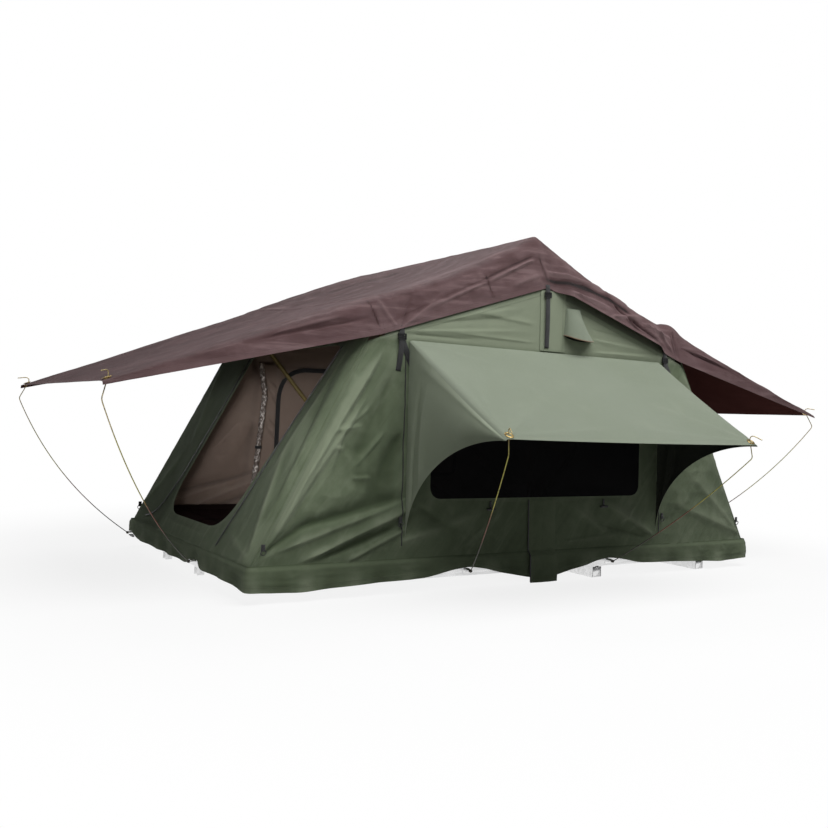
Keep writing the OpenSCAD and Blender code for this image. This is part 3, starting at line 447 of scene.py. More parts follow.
def sewnCloth(name, color, deep, pale, rough=0.8, weave=0.0016, sheen=0.12, crumples=0.35, gloss=0.3,
              hem=0.02, upper=None, streaks=None):
    # woven cloth: tone drifts with soft noise, folds are painted lighter and darker as highlight and shade,
    # threads and stitches are bump; streaks run along the pull of the cloth as painted sheen and shade: scale
    # per metre, stretch, turn about Y, strength
    s = Shade(name)
    u, v = s.lay()
    drift = s.noise(2.2, 4.0, 0.55)
    blotch = s.noise(14.0, 4.0, 0.6)
    fold = s.mark("fold")
    tone = s.tint(drift.ramp(0.35, 0.68, 0.55, 1.0), deep, color)
    tone = s.tint(blotch.ramp(0.45, 0.8, 0.0, 0.3), tone, pale)
    pulled = 0.0
    if streaks:
        scale, stretch, turn, strength = streaks
        turned = s.node("ShaderNodeMapping", None, {"Vector": s.place(), "Rotation": (0.0, turn, 0.0)})
        sheenStreak = s.noise(scale, 5.0, 0.62, turned, stretch)
        # painted sheen and shade: pale streaks stand in for highlights along the pull, deep ones for shade
        tone = s.tint(sheenStreak.ramp(0.5, 0.68, 0.0, 0.8 * strength), tone, pale)
        tone = s.tint(sheenStreak.ramp(0.47, 0.30, 0.0, 0.75 * strength), tone, deep)
        pulled = sheenStreak * 0.9
    # painted light: above this height the cloth takes the given lighter tone
    if upper:
        tone = s.tint(s.axes()[2].ramp(0.872, 0.90, 0.0, 0.92), tone, upper)
    # painted highlight and shade: raised folds are lighter, sunk ones darker, the deepest hollows nearly
    # black
    tone = s.tint(fold.ramp(0.05, 1.0, 0.0, 0.7), tone, pale)
    tone = s.tint((fold * -1.0).ramp(0.05, 1.0, 0.0, 0.88), tone, deep)
    tone = s.tint((fold * -1.0).ramp(1.0, 2.0, 0.0, 0.9), tone, [c * 0.12 for c in deep])
    edge = s.mark("hem")
    band = (edge < hem) * 0.5
    stitch = ((edge - hem * 0.82).abs() < 0.0011) * ((u + v) * (2 * math.pi / 0.0075)).sin().ramp(-0.2, 0.1)
    tone = s.tint(stitch * 0.6, tone, deep)
    tone = s.tint(band * 0.3, tone, pale)
    thread = (u * (2 * math.pi / weave)).sin() * (v * (2 * math.pi / weave)).sin()
    fine = s.noise(60.0, 3.0, 0.6)
    soft = s.noise(11.0, 5.0, 0.55)
    relief = thread * 0.10 + fine * 0.25 * crumples + soft * 1.1 * crumples + band * 0.5 - stitch * 0.6
    return s.set(color=tone, rough=blotch.ramp(0.2, 0.9, rough - 0.08, min(rough + 0.1, 1.0)),
                 normal=s.bump(relief + pulled, 0.6, 0.004), sheen=sheen, sheenRough=0.45, specular=gloss)


def metalFinish(name, color, dark, rough, grain=(1.0, 1.0, 1.0), metal=1.0):
    # drawn or rolled metal: streaks along the piece vary roughness and tone
    s = Shade(name)
    streak = s.noise(90.0, 3.0, 0.6, stretch=grain)
    grime = s.noise(6.0, 4.0, 0.6)
    tone = s.tint(grime.ramp(0.42, 0.75, 0.0, 0.6), color, dark)
    tone = s.tint(streak.ramp(0.4, 0.8, 0.0, 0.25), tone, dark)
    return s.set(color=tone, metal=metal, rough=streak.ramp(0.3, 0.7, rough - 0.07, rough + 0.1),
                 normal=s.bump(streak, 0.12, 0.0006))


def mouldedFinish(name, color, scuff, rough):
    # moulded plastic: fine spark texture with pale scuffs
    s = Shade(name)
    spark = s.noise(700.0, 2.0, 0.6)
    worn = s.noise(35.0, 5.0, 0.65)
    tone = s.tint(worn.ramp(0.55, 0.8, 0.0, 0.5), color, scuff)
    return s.set(color=tone, rough=worn.ramp(0.3, 0.8, rough - 0.08, rough + 0.12),
                 normal=s.bump(spark, 0.18, 0.0006))


def wireFinish(name, tones, heights):
    # coated spring wire: tone changes with height in bands that run into each other, dark at the foot, then
    # red, olive and tan towards the top, and worn specks
    s = Shade(name)
    worn = s.noise(120.0, 4.0, 0.65)
    z = s.axes()[2] + worn * 0.05 - 0.025
    tone = tones[0]
    for color, height in zip(tones[1:], heights):
        tone = s.tint(z.ramp(height - 0.03, height + 0.03), tone, color)
    tone = s.tint(worn.ramp(0.52, 0.62, 0.0, 0.55), tone, tones[0])
    return s.set(color=tone, metal=0.5, rough=worn.ramp(0.3, 0.7, 0.3, 0.5), normal=s.bump(worn, 0.1, 0.0004))


def webbingFinish(name, color, pale):
    # woven strap: ribs across and a twill along the strap
    s = Shade(name)
    u, v = s.lay()
    rib = (u * (2 * math.pi / 0.0022)).sin() * 0.5 + ((u + v) * (2 * math.pi / 0.003)).sin() * 0.5
    fade = s.noise(30.0, 3.0, 0.5)
    tone = s.tint(fade.ramp(0.4, 0.8, 0.0, 0.6), color, pale)
    return s.set(color=tone, rough=0.72, normal=s.bump(rib, 0.5, 0.0008), sheen=0.2)


def nettingFinish(name, color, hole):
    # insect netting: a fine square grid of threads, open between them
    s = Shade(name)
    u, v = s.lay()
    pitch = 2 * math.pi / 0.0018
    thread = (u * pitch).sin().abs() * (v * pitch).sin().abs()
    shade = s.noise(9.0, 3.0, 0.5)
    tone = s.tint(shade.ramp(0.3, 0.8), color, [c * 1.8 for c in color])
    return s.set(color=tone, rough=0.8, alpha=thread.ramp(0.1, 0.6, 1.0, hole),
                 normal=s.bump(thread, 0.3, 0.0005), specular=0.1)


def crinkledFinish(name, dark, paintedHighlight):
    # gathered netting: short crinkles painted bright, partly as highlights, across a dark roll
    s = Shade(name)
    crinkle = s.noise(130.0, 4.0, 0.7, stretch=(1.0, 1.0, 0.55))
    tone = s.tint(crinkle.ramp(0.47, 0.66), dark, paintedHighlight)
    return s.set(color=tone, rough=crinkle.ramp(0.3, 0.8, 0.35, 0.7), normal=s.bump(crinkle, 0.9, 0.004))


# each cloth: middle, deep and pale tone; the awning and gusset tones are lighter copies of the wall's, as
# painted sheen and painted light
clothTones = {
    "wall": ((0.152, 0.189, 0.117), (0.064, 0.085, 0.046), (0.270, 0.310, 0.216)),
    "awning": ((0.236, 0.270, 0.205), (0.205, 0.240, 0.172), (0.292, 0.325, 0.250)),
    "skirt": ((0.150, 0.186, 0.114), (0.082, 0.107, 0.060), (0.240, 0.278, 0.190)),
    "paintedShadeLining": ((0.020, 0.023, 0.016), (0.014, 0.016, 0.011), (0.030, 0.034, 0.025)),
    "lining": ((0.275, 0.208, 0.172), (0.205, 0.150, 0.122), (0.345, 0.270, 0.228)),
    "fly": ((0.105, 0.056, 0.058), (0.042, 0.019, 0.019), (0.205, 0.134, 0.136)),
    "flyLining": ((0.155, 0.058, 0.053), (0.110, 0.038, 0.034), (0.195, 0.080, 0.074)),
    "gusset": ((0.310, 0.352, 0.262), (0.210, 0.245, 0.172), (0.390, 0.430, 0.340)),
    "mattress": ((0.022, 0.008, 0.008), (0.012, 0.005, 0.005), (0.034, 0.014, 0.014)),
}
# the wall canvas is painted lighter above the awning seam, as painted light on the upper wall
wallCanvas = sewnCloth("wallCanvas", *clothTones["wall"], upper=(0.285, 0.322, 0.232), gloss=0.14, sheen=0.06,
                       streaks=(17.0, (1.0, 1.0, 0.16), -0.63, 0.40))
# painted light: the gussets and awnings use lighter copies of the wall canvas
gussetCanvasPaintedLight = sewnCloth("gussetCanvasPaintedLight", *clothTones["gusset"], gloss=0.14, sheen=0.06)
awningCanvasPaintedSheen = sewnCloth("awningCanvasPaintedSheen", *clothTones["awning"], crumples=0.2)
skirtCanvas = sewnCloth("skirtCanvas", *clothTones["skirt"], crumples=0.4, gloss=0.14, sheen=0.06)
# painted shade: the undersides of the awnings, the inner faces of the gussets and the insides of the vent
# hoods are near black, standing in for the shade under them
paintedShadeLining = sewnCloth("paintedShadeLining", *clothTones["paintedShadeLining"], sheen=0.0)
tanLining = sewnCloth("tanLining", *clothTones["lining"], rough=0.85)
flyCloth = sewnCloth("flyCloth", *clothTones["fly"], rough=0.6, weave=0.0012, sheen=0.04, crumples=0.5,
                     gloss=0.17, streaks=(13.0, (0.20, 2.2, 2.2), 0.0, 0.7))
flyLining = sewnCloth("flyLining", *clothTones["flyLining"], rough=0.85, sheen=0.0, gloss=0.0)
mattressCover = sewnCloth("mattressCover", *clothTones["mattress"], rough=0.9, weave=0.003, sheen=0.0,
                          gloss=0.1)
silverNet = crinkledFinish("silverNet", (0.13, 0.10, 0.085), (0.95, 0.88, 0.83))
windowNetting = nettingFinish("windowNetting", (0.004, 0.004, 0.0045), 0.90)
blackWebbing = webbingFinish("blackWebbing", (0.010, 0.010, 0.011), (0.022, 0.022, 0.024))
rustPiping = webbingFinish("rustPiping", (0.20, 0.125, 0.075), (0.30, 0.19, 0.12))
blackMoulding = mouldedFinish("blackMoulding", (0.013, 0.013, 0.014), (0.040, 0.040, 0.043), 0.33)
blackFrame = mouldedFinish("blackFrame", (0.016, 0.017, 0.017), (0.045, 0.046, 0.047), 0.5)
springWire = wireFinish("springWire", [(0.045, 0.040, 0.030), (0.20, 0.075, 0.050), (0.42, 0.38, 0.075),
                                       (0.52, 0.42, 0.20)], [0.19, 0.31, 0.53])
hoopAlloy = metalFinish("hoopAlloy", (0.230, 0.180, 0.060), (0.150, 0.115, 0.045), 0.6, (1.0, 0.1, 1.0), 0.2)
satinAlloy = metalFinish("satinAlloy", (0.90, 0.90, 0.90), (0.78, 0.78, 0.78), 0.32, (0.1, 1.0, 1.0))
boltSteel = metalFinish("boltSteel", (0.58, 0.58, 0.57), (0.36, 0.35, 0.34), 0.3)
plateSteel = metalFinish("plateSteel", (0.48, 0.49, 0.50), (0.33, 0.34, 0.35), 0.42)
floorSkin = metalFinish("floorSkin", (0.52, 0.53, 0.52), (0.40, 0.41, 0.40), 0.5, (0.1, 1.0, 1.0), 0.85)
brassEyelet = metalFinish("brassEyelet", (0.55, 0.40, 0.16), (0.33, 0.22, 0.08), 0.3)
print("materials ready")


def halves(*names):
    return [half + name for name in names for half in ("fixed_", "flip_")]


hoops = ("ridge", "left", "right")
nodeFinish = {
    satinAlloy: halves("side_rails", "end_rail", "rod_sockets") + ["mounting_rails", "ladder_brackets"],
    blackFrame: halves("hinge_rail", "clamp_strips"),
    floorSkin: halves("floor_panel"),
    plateSteel: halves("hinge_brackets"),
    boltSteel: halves("hinge_screws") + ["rail_fasteners", "pivot_bolts", "pivot_nuts"],
    hoopAlloy: [hoop + "_hoop" for hoop in hoops],
    blackMoulding: halves("corner_caps") + [h + part for h in hoops for part in ("_hoop_feet", "_buckles")],
    springWire: [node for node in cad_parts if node.endswith("_rod")],
}
for finish, names in nodeFinish.items():
    for nodeName in names:
        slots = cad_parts[nodeName].data.materials
        slots.clear()
        slots.append(finish)
print("frame nodes finished")


railPiece = {"side": 0.0386, "thickness": 0.003, "halfWidth": 0.025}


def makeRailPlugs():
    # square plugs that shut the open ends of the mounting rails
    k = railPiece
    box = np.array(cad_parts["mounting_rails"].bound_box)
    low, high = box.min(0), box.max(0)
    plugs = []
    for x in (low[0] + k["halfWidth"], high[0] - k["halfWidth"]):
        for y, way in ((low[1], 1), (high[1], -1)):
            ys = np.linspace(y, y + way * k["thickness"], 2)
            line = np.stack([x + 0 * ys, ys, (low[2] + high[2]) / 2 + 0 * ys], -1)
            plugs.append(tubePiece("plug", line, k["side"] / math.sqrt(2), 4, side=(1, 0, 1)))
    finishPiece(joinPieces("railPlugs", plugs), satinAlloy, "fixed_base", "moulding")


makeRailPlugs()
print("rail plugs made")


# planes that the cloth follows

def wallFace(z):
    # outer face of a long wall: half the width, leaning in with height
    return tent["halfWidth"] + tent["gap"] + (tent["floorZ"] - z) * math.tan(tent["lean"]) + tent["cloth"]


def onWall(x, z, lift, side):
    # point on a long wall, lifted off its outer face
    x, z = np.broadcast_arrays(np.asarray(x, float), np.asarray(z, float))
    return np.stack([x, side * (wallFace(z) + lift), z], -1)


def endLine(z):
    # outer face of an end wall: upright below the bend, then sloping in
    lift = tent["cloth"] / endSin
    return tent["halfLength"] + tent["gap"] + lift - np.maximum(0, z - tent["bendZ"]) / math.tan(endAngle)


def endPoint(y, z, lift, half):
    # point on the sloping end plane, lifted along the plane's outward normal
    y, z, lift = np.broadcast_arrays(y, z, lift)
    return np.stack([(endLine(z) + lift * endSin) * half, y, z + lift * endCos], -1)


cornerRound = 0.05      # radius over which a long wall turns into an end wall


def roundOff(gap):
    # a point this far from the corner line moves onto the fillet's arc: (shift away from the line, inset)
    turn = np.clip(1 - gap / cornerRound, 0, 1.3) * math.pi / 4
    return np.where(turn > 0, cornerRound * (1 - np.sin(turn)) - gap, 0), cornerRound * (1 - np.cos(turn))


def rimGap(flat, *rims):
    # distance of every point of a ruled sheet to the nearest of its rims
    return np.min([np.linalg.norm(flat - rim[:, None], axis=2) for rim in rims], axis=0)


# pulls: x, z at root and end, width, height, skew; the dark crease marks, of that kind, are painted shade;
# topPulls run in x, y;
# streaks: share of x and of z, cell, seed, height; ripple: size, seed, height; deepest at and between hoops
flyPiece = {
    "tipX": 1.65, "tipZ": 0.692, "tipY": 0.706, "lip": 0.012, "ridgeDrop": 0.209, "shoulderDrop": 0.136,
    "ridgeY": 0.612, "shoulderY": 0.640, "dip": 0.010, "columns": (60, 310), "rows": (26, 11, 11),
    "bodyHalf": 0.8, "thickness": 0.0014, "rise": 0.0026, "foldKeep": 0.004, "foldZ": 0.9, "overHoop": 0.011,
    "sideFrom": 0.4, "leftReach": 0.014, "leftDrop": 0.008, "farLift": 0.026, "farBow": 0.045,
    # tones: painted light on the hung sides, painted shade on the flat top and on the door-side wing
    "knob": (0.735, 0.045, 0.024), "loose": (0.03, 0.66, 0.030), "tones": (0.26, -0.14, -0.10),
    "streaks": [(0.35, 1.0, 0.055, 5, 0.0018), (0.5, 0.6, 0.022, 8, 0.0007)], "ripple": (0.085, 21, 0.0020),
    "deepest": (-0.003, -0.022), "seam": 0.0085, "foldShadeScale": 105, "crumpleShadeScale": 120,
    "pulls": [(-0.04, 1.24, -0.28, 1.122, 0.014, 0.01, 0.4), (-0.28, 1.122, -0.53, 1.006, 0.014, 0.008, 0.4),
              (-0.06, 1.285, -0.5, 1.105, 0.03, 0.006), (-0.03, 1.175, -0.16, 1.125, 0.014, 0.005),
              (-0.66, 0.915, -0.48, 1.05, 0.014, 0.006), (-0.66, 0.915, -0.6, 1.04, 0.01, -0.005),
              (-0.65, 0.915, -0.36, 0.99, 0.014, 0.005), (-0.67, 0.915, -0.74, 1.02, 0.01, 0.005),
              (0, 1.196, 0.32, 1.16, 0.018, 0.016, 0.5), (0.3, 1.15, 0.47, 1.095, 0.016, 0.014, 0.5),
              (0.1, 1.118, 0.34, 1.07, 0.016, 0.012), (0.3, 1.035, 0.52, 1.065, 0.018, 0.014),
              (0.36, 1.1, 0.5, 0.985, 0.012, -0.012), (0.44, 1.045, 0.64, 0.95, 0.016, -0.013),
              (0.52, 1.035, 0.71, 0.985, 0.016, 0.014), (0.72, 1.02, 0.735, 0.905, 0.01, -0.014),
              (0.7, 0.925, 0.6, 1.04, 0.012, 0.01), (0.77, 0.95, 1.25, 0.83, 0.012, -0.01),
              (0.86, 0.94, 1.4, 0.775, 0.01, 0.007), (-0.78, 0.945, -1.3, 0.815, 0.014, -0.008),
              (-0.86, 0.95, -1.5, 0.745, 0.012, 0.006)],
    "paintedCreaseShade": [(-0.02, 1.163, 0.24, 1.138, 0.02, 3.6, 0), (0.16, 1.15, 0.36, 1.112, 0.014, 3.6, 0),
                (0.32, 1.124, 0.46, 1.066, 0.011, 3.2, 0), (0.4, 1.04, 0.47, 1.0, 0.009, 2.2, 0),
                (0.7, 1.01, 0.715, 0.92, 0.007, 1.8, 0), (0.52, 0.985, 0.64, 0.935, 0.008, 1.6, 0),
                (-0.039, 1.258, -0.275, 1.141, 0.01, 2.4, 0), (-0.23, 1.16, -0.521, 1.027, 0.009, 1.4, 0),
                (-0.48, 1.045, -0.699, 0.941, 0.008, 0.9, 0), (-0.02, 1.262, 0.002, 1.15, 0.007, 2.2, 0),
                (-0.277, 1.16, -0.255, 1.07, 0.007, 1.8, 0), (-0.772, 1.01, -0.735, 0.91, 0.007, 1.8, 0)],
    "topPulls": [(-0.1, -0.58, -0.66, -0.5, 0.05, 0.008), (-0.72, -0.6, -1.5, -0.62, 0.03, 0.006),
                 (-0.74, -0.3, -1.55, -0.52, 0.05, -0.008), (-0.74, 0.1, -1.5, -0.1, 0.06, 0.007),
                 (-0.8, 0.4, -1.6, 0.6, 0.05, -0.007), (-0.7, -0.62, -0.72, 0.62, 0.02, 0.008),
                 (0.7, -0.62, 0.72, 0.62, 0.02, 0.008), (0.74, -0.5, 1.55, -0.62, 0.04, -0.007),
                 (0.74, 0, 1.5, 0.2, 0.06, 0.007), (-0.05, 0.2, -0.65, 0.35, 0.06, -0.007),
                 (0.06, -0.45, 0.66, -0.3, 0.05, -0.008), (0.05, 0.1, 0.65, 0.3, 0.06, 0.007)],
}
flyOver = tent["hoopRadius"] + flyPiece["overHoop"]
flyEdgeX = tent["shoulderX"] + flyOver
flyRidgeZ = tent["ridgeZ"] + flyOver
flyShoulderZ = tent["shoulderZ"] + flyOver


def flyTip(x):
    # reach and height of the front edge; the door end hangs a little further out and lower
    f = flyPiece
    return f["tipX"] + f["leftReach"] * (x < 0), f["tipZ"] - f["leftDrop"] * (x < 0)


def flyLines(x):
    # crest and hem of the fly at each X: straight runs between ridge, shoulder and tip, with a sag between
    # hoops; crest Z and Y, hem Z and Y, share of the way along the body and along the wing
    f = flyPiece
    tipX, tipZ = flyTip(x)
    body = np.clip(np.abs(x) / flyEdgeX, 0, 1)
    wing = np.clip((np.abs(x) - flyEdgeX) / (tipX - flyEdgeX), 0, 1)
    crestZ = mix(mix(flyRidgeZ, flyShoulderZ, body) - tent["sag"] * 4 * body * (1 - body), tipZ, wing)
    crestY = mix(mix(f["ridgeY"], f["shoulderY"], body), f["tipY"] - f["lip"] / 2, wing)
    bodyHem = mix(flyRidgeZ - f["ridgeDrop"], flyShoulderZ - f["shoulderDrop"], body)
    hemZ = mix(bodyHem, tipZ - f["lip"], wing)
    hemY = mix(wallFace(bodyHem) + tent["gap"] + tent["cloth"], f["tipY"], wing)
    return crestZ, crestY, hemZ, hemY, body, wing


def wallTop(x):
    return flyLines(x)[2] - 0.006


def roofGrid(x, crestY, crestZ, hemY, hemZ, dip, counts):
    # cross sections along X: straight from the hem, a rounded corner, then flat to the middle with a dip
    corner = np.stack([crestY, crestZ], -1)
    hem = np.stack([hemY, hemZ], -1)
    edge = mix(corner, hem, 0.28)
    flat = np.stack([crestY * 0.925, crestZ], -1)
    t = np.linspace(0, 1, counts[0], endpoint=False)[None, :, None]
    side = mix(hem[:, None], edge[:, None], t)
    t = np.linspace(0, 1, counts[1], endpoint=False)[None, :, None]
    bend = (1 - t) ** 2 * edge[:, None] + 2 * t * (1 - t) * corner[:, None] + t * t * flat[:, None]
    t = np.linspace(0, 1, counts[2])[None, :]
    top = np.stack([flat[:, :1] * (1 - t), flat[:, 1:] - dip[:, None] * (1 - (1 - t) ** 2)], -1)
    half = np.concatenate([side, bend, top], 1)
    section = np.concatenate([half * np.array([-1, 1]), half[:, -2::-1]], 1)
    return np.concatenate([np.broadcast_to(x[:, None, None], (*section.shape[:2], 1)), section], -1)


def foldToRidge(piece):
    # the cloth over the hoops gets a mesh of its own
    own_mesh(piece)


def makeFly():
    # one sheet: cross sections along X, moved along their normals by folds, creases and ripples
    f = flyPiece
    wingCount, bodyCount = f["columns"]
    b = f["bodyHalf"]
    x = np.concatenate([np.linspace(-flyTip(-1)[0], -b, wingCount, endpoint=False),
                        np.linspace(-b, b, bodyCount, endpoint=False), np.linspace(b, f["tipX"], wingCount)])
    crestZ, crestY, hemZ, hemY, body, wing = flyLines(x)
    points = roofGrid(x, crestY, crestZ, hemY, hemZ, f["dip"] * 4 * wing * (1 - wing), f["rows"])
    # the far door-side slope stands higher, and the hoop's corner lifts the near right shoulder
    y, z = points[..., 1], points[..., 2]
    over = np.clip((z - hemZ[:, None]) / np.maximum(crestZ - hemZ, 0.01)[:, None], 0, 1)
    high = (x < 0) * (f["farLift"] * body * (1 - wing) + f["farBow"] * 4 * body * (1 - body))
    knob = f["knob"][2] * np.exp(-((x - f["knob"][0]) / f["knob"][1]) ** 2)
    points[..., 2] += over * (high[:, None] * ease(y / 0.5) + knob[:, None] * ease((-y - 0.40) / 0.2))
    normal = gridNormals(points)
    normal *= np.sign(normal[..., 2:].mean())
    px, py, pz = points[..., 0], points[..., 1], points[..., 2]
    nearSide, farSide = py < -f["sideFrom"], py > f["sideFrom"]
    folds = creases(px, pz, f["pulls"]) * nearSide + creases(-px, pz, f["pulls"]) * farSide
    folds = np.where(np.abs(normal[..., 2]) > 0.6, folds * 0.3 + creases(px, py, f["topPulls"]), folds)
    small = sum(cloud(px * a, py + pz * b, cell, seed) * high for a, b, cell, seed, high in f["streaks"])
    size, seed, tall = f["ripple"]
    small = small + crumple(px, py + pz, size, seed) * tall * (0.4 + 0.6 * ease((1.15 - np.abs(px)) / 0.6))
    column = np.arange(points.shape[1])
    edge = np.minimum(column, column[::-1])[None, :]
    inFromTip = flyTip(px)[0] - np.abs(px)
    free = ease(edge / 5.0) * ease(inFromTip / 0.03)
    shift = (folds + small) * np.maximum(free, 0.25 * (edge > 0))
    # no fold sinks into a hoop
    reach = np.minimum(np.abs(px), np.abs(np.abs(px) - tent["shoulderX"]))
    shift = np.maximum(shift, mix(*f["deepest"], ease((reach - 0.02) / 0.06)))
    # between the straps of the fixed half the hem hangs clear of the wall
    start, end, clear = f["loose"]
    hang = clear * ease((np.abs(px) - start) / 0.08) * ease((end - np.abs(px)) / 0.08) * (1 - over) * (px > 0)
    points = points + normal * (shift + f["rise"] + hang)[..., None]
    u, v = arcLengths(points)
    seam = np.minimum(np.abs(np.abs(px) - flyEdgeX), np.abs(px)) + f["seam"]      # sewn joins over the hoops
    hem = np.minimum(np.minimum(np.minimum(v, v[:, -1:] - v), inFromTip), seam)
    # painted light and shade: the hung sides are painted lighter and the flat top darker, a little less dark
    # on the door-side wing
    paintedSideLight, paintedTopShade, paintedWingShade = f["tones"]
    flatness = ease((np.abs(normal[..., 2]) - 0.45) / 0.3)
    paintedTopShade = mix(paintedTopShade, paintedWingShade, ease((-px - 0.70) / 0.25))
    # painted highlight and shade of the folds and crumples, offset by the painted tones above
    fold = folds * f["foldShadeScale"] + small * f["crumpleShadeScale"] + mix(paintedSideLight, paintedTopShade, flatness)
    fold = np.clip(fold, -1, 1)
    # painted shade: dark lines along the near side's creases, down to nearly black
    fold = np.clip(fold - creases(px, pz, f["paintedCreaseShade"]) * nearSide, -2, 1)
    fly = gridPiece("rainFly", points, (0, 0, 1), fold=fold, hem=hem)
    thicken(fly, f["thickness"], lining=True)
    finishPiece(fly, [flyCloth, flyLining], "ridge_frame", "fly", "rain_fly")
    length, width, area = float(u[-1].max()), float(v.max(1).mean()), gridArea(points)
    foldToRidge(fly)
    print("fly", round(area, 2), "m2")


makeFly()


roofPiece = {"columns": 110, "rows": (8, 8, 16), "thickness": 0.0012, "sag": 0.016, "over": 0.003,
             "inset": 0.008}


def makeRoof():
    # canvas roof under the fly: same section family, set in by the gap between the two
    k = roofPiece
    x1 = tent["shoulderX"] + tent["hoopRadius"] * 0.6
    x = np.linspace(-x1, x1, k["columns"])
    t = np.clip(np.abs(x) / tent["shoulderX"], 0, 1)
    sag = (tent["sag"] + k["sag"]) * 4 * t * (1 - t)
    topZ = mix(tent["ridgeZ"], tent["shoulderZ"], t) + tent["hoopRadius"] + k["over"] - sag
    topY = flyLines(x)[1] - k["inset"] - 0.05 * t * (1 - t)
    low = wallTop(x)
    points = roofGrid(x, topY, topZ, wallFace(low) - 0.001, low, 0 * x, k["rows"])
    roof = gridPiece("canvasRoof", points, (0, 0, 1))
    thicken(roof, k["thickness"], lining=True)
    finishPiece(roof, [wallCanvas, tanLining], "ridge_frame", "canvas", "fixed_roof", "flip_roof")
    area = gridArea(points)
    foldToRidge(roof)
    print("roof", round(area, 2), "m2")


makeRoof()


wallPiece = {
    "foot": 0.096, "windowHalf": 0.515, "windowLow": 0.325, "windowTop": 0.805, "windowRound": 0.05,
    "rings": 92, "thickness": 0.0012, "counts": (96, 112, 84), "endGap": 0.002, "inset": 0.0012,
    "upperShare": 0.42, "slack": 0.006, "small": [(0.10, 31, 0.0022), (0.045, 33, 0.0010)],
    "foldShadeScale": 75, "crumpleShadeScale": 120,
    "leftPulls": [(-0.735, 0.825, -1.215, 0.105, 0.04, 0.024), (-0.835, 0.775, -1.06, 0.44, 0.014, -0.006),
                  (-0.79, 0.67, -1.13, 0.2, 0.03, 0.013), (-0.68, 0.76, -0.85, 0.4, 0.065, -0.013, 0),
                  (-0.64, 0.56, -0.78, 0.3, 0.08, -0.017, 0),
                  (-1.19, 0.135, -0.97, 0.262, 0.018, -0.014, -0.3),
                  (-1.03, 0.238, -0.6, 0.34, 0.034, -0.018, -0.3),
                  (-1.11, 0.16, -0.58, 0.335, 0.02, 0.009, -0.4),
                  (-1.01, 0.128, -0.57, 0.302, 0.022, 0.015, -0.4),
                  (-0.96, 0.128, -0.6, 0.25, 0.026, -0.016, -0.2),
                  (-0.84, 0.122, -0.6, 0.23, 0.018, 0.01, -0.4), (-0.915, 0.56, -0.8, 0.578, 0.012, 0.007),
                  (-0.91, 0.502, -0.865, 0.502, 0.012, 0.006), (-0.83, 0.402, -0.755, 0.402, 0.012, 0.007),
                  (-0.711, 0.556, -0.83, 0.43, 0.014, 0.008), (-0.865, 0.58, -0.92, 0.4, 0.014, 0.007),
                  (-0.77, 0.64, -0.87, 0.56, 0.012, 0.006), (-0.64, 0.175, -0.3, 0.27, 0.042, 0.01),
                  (-0.59, 0.315, -0.38, 0.19, 0.032, -0.009), (-0.36, 0.15, -0.18, 0.29, 0.028, 0.006)],
    "rightPulls": [(1.15, 0.15, 0.7, 0.3, 0.045, 0.01), (1.13, 0.16, 0.8, 0.43, 0.045, 0.008),
                   (0.6, 0.16, 0.33, 0.3, 0.026, 0.014), (0.56, 0.15, 0.3, 0.215, 0.022, -0.009),
                   (0.64, 0.2, 0.9, 0.33, 0.05, -0.006), (0.5, 0.285, 0.4, 0.2, 0.02, 0.008),
                   (0.75, 0.86, 1.04, 0.38, 0.045, 0.01), (0.33, 0.18, 0.13, 0.3, 0.036, 0.008),
                   (0.11, 0.15, 0.42, 0.17, 0.02, 0.006)],
    "upperPulls": [(-0.66, 0.912, -0.1, 0.955, 0.014, 0.007), (-0.64, 0.935, -0.15, 1.005, 0.014, -0.006),
                   (-0.55, 0.955, -0.12, 1.04, 0.016, 0.006), (-0.06, 0.915, -0.46, 0.925, 0.01, 0.006),
                   (-0.06, 0.985, -0.4, 1.015, 0.016, 0.008), (-0.62, 0.905, -0.34, 0.905, 0.01, -0.007),
                   (0.25, 0.9, 0.62, 0.902, 0.012, 0.008), (0.24, 0.95, 0.55, 0.922, 0.016, 0.008),
                   (0.24, 0.99, 0.48, 0.965, 0.016, -0.006)],
}


def wallShift(x, z, side):
    # outward push of the long wall: pulls from the corners, bulge of slack cloth and small crumples
    w = wallPiece
    folds = creases(x, z, w["leftPulls"]) + creases(x, z, w["rightPulls"])
    folds = folds + creases(x, z, w["upperPulls"]) * w["upperShare"]
    slack = w["slack"] * ease((np.abs(x) - 0.55) / 0.2) * ease((z - 0.14) / 0.2) * ease((0.9 - z) / 0.3)
    small = sum(crumple(x, z, size, seed + side) * high for size, seed, high in w["small"])
    small *= ease((np.abs(x) - 0.06) / 0.1) * (0.35 + 0.65 * ease((np.abs(x) - 0.5) / 0.15))
    return folds, slack, small


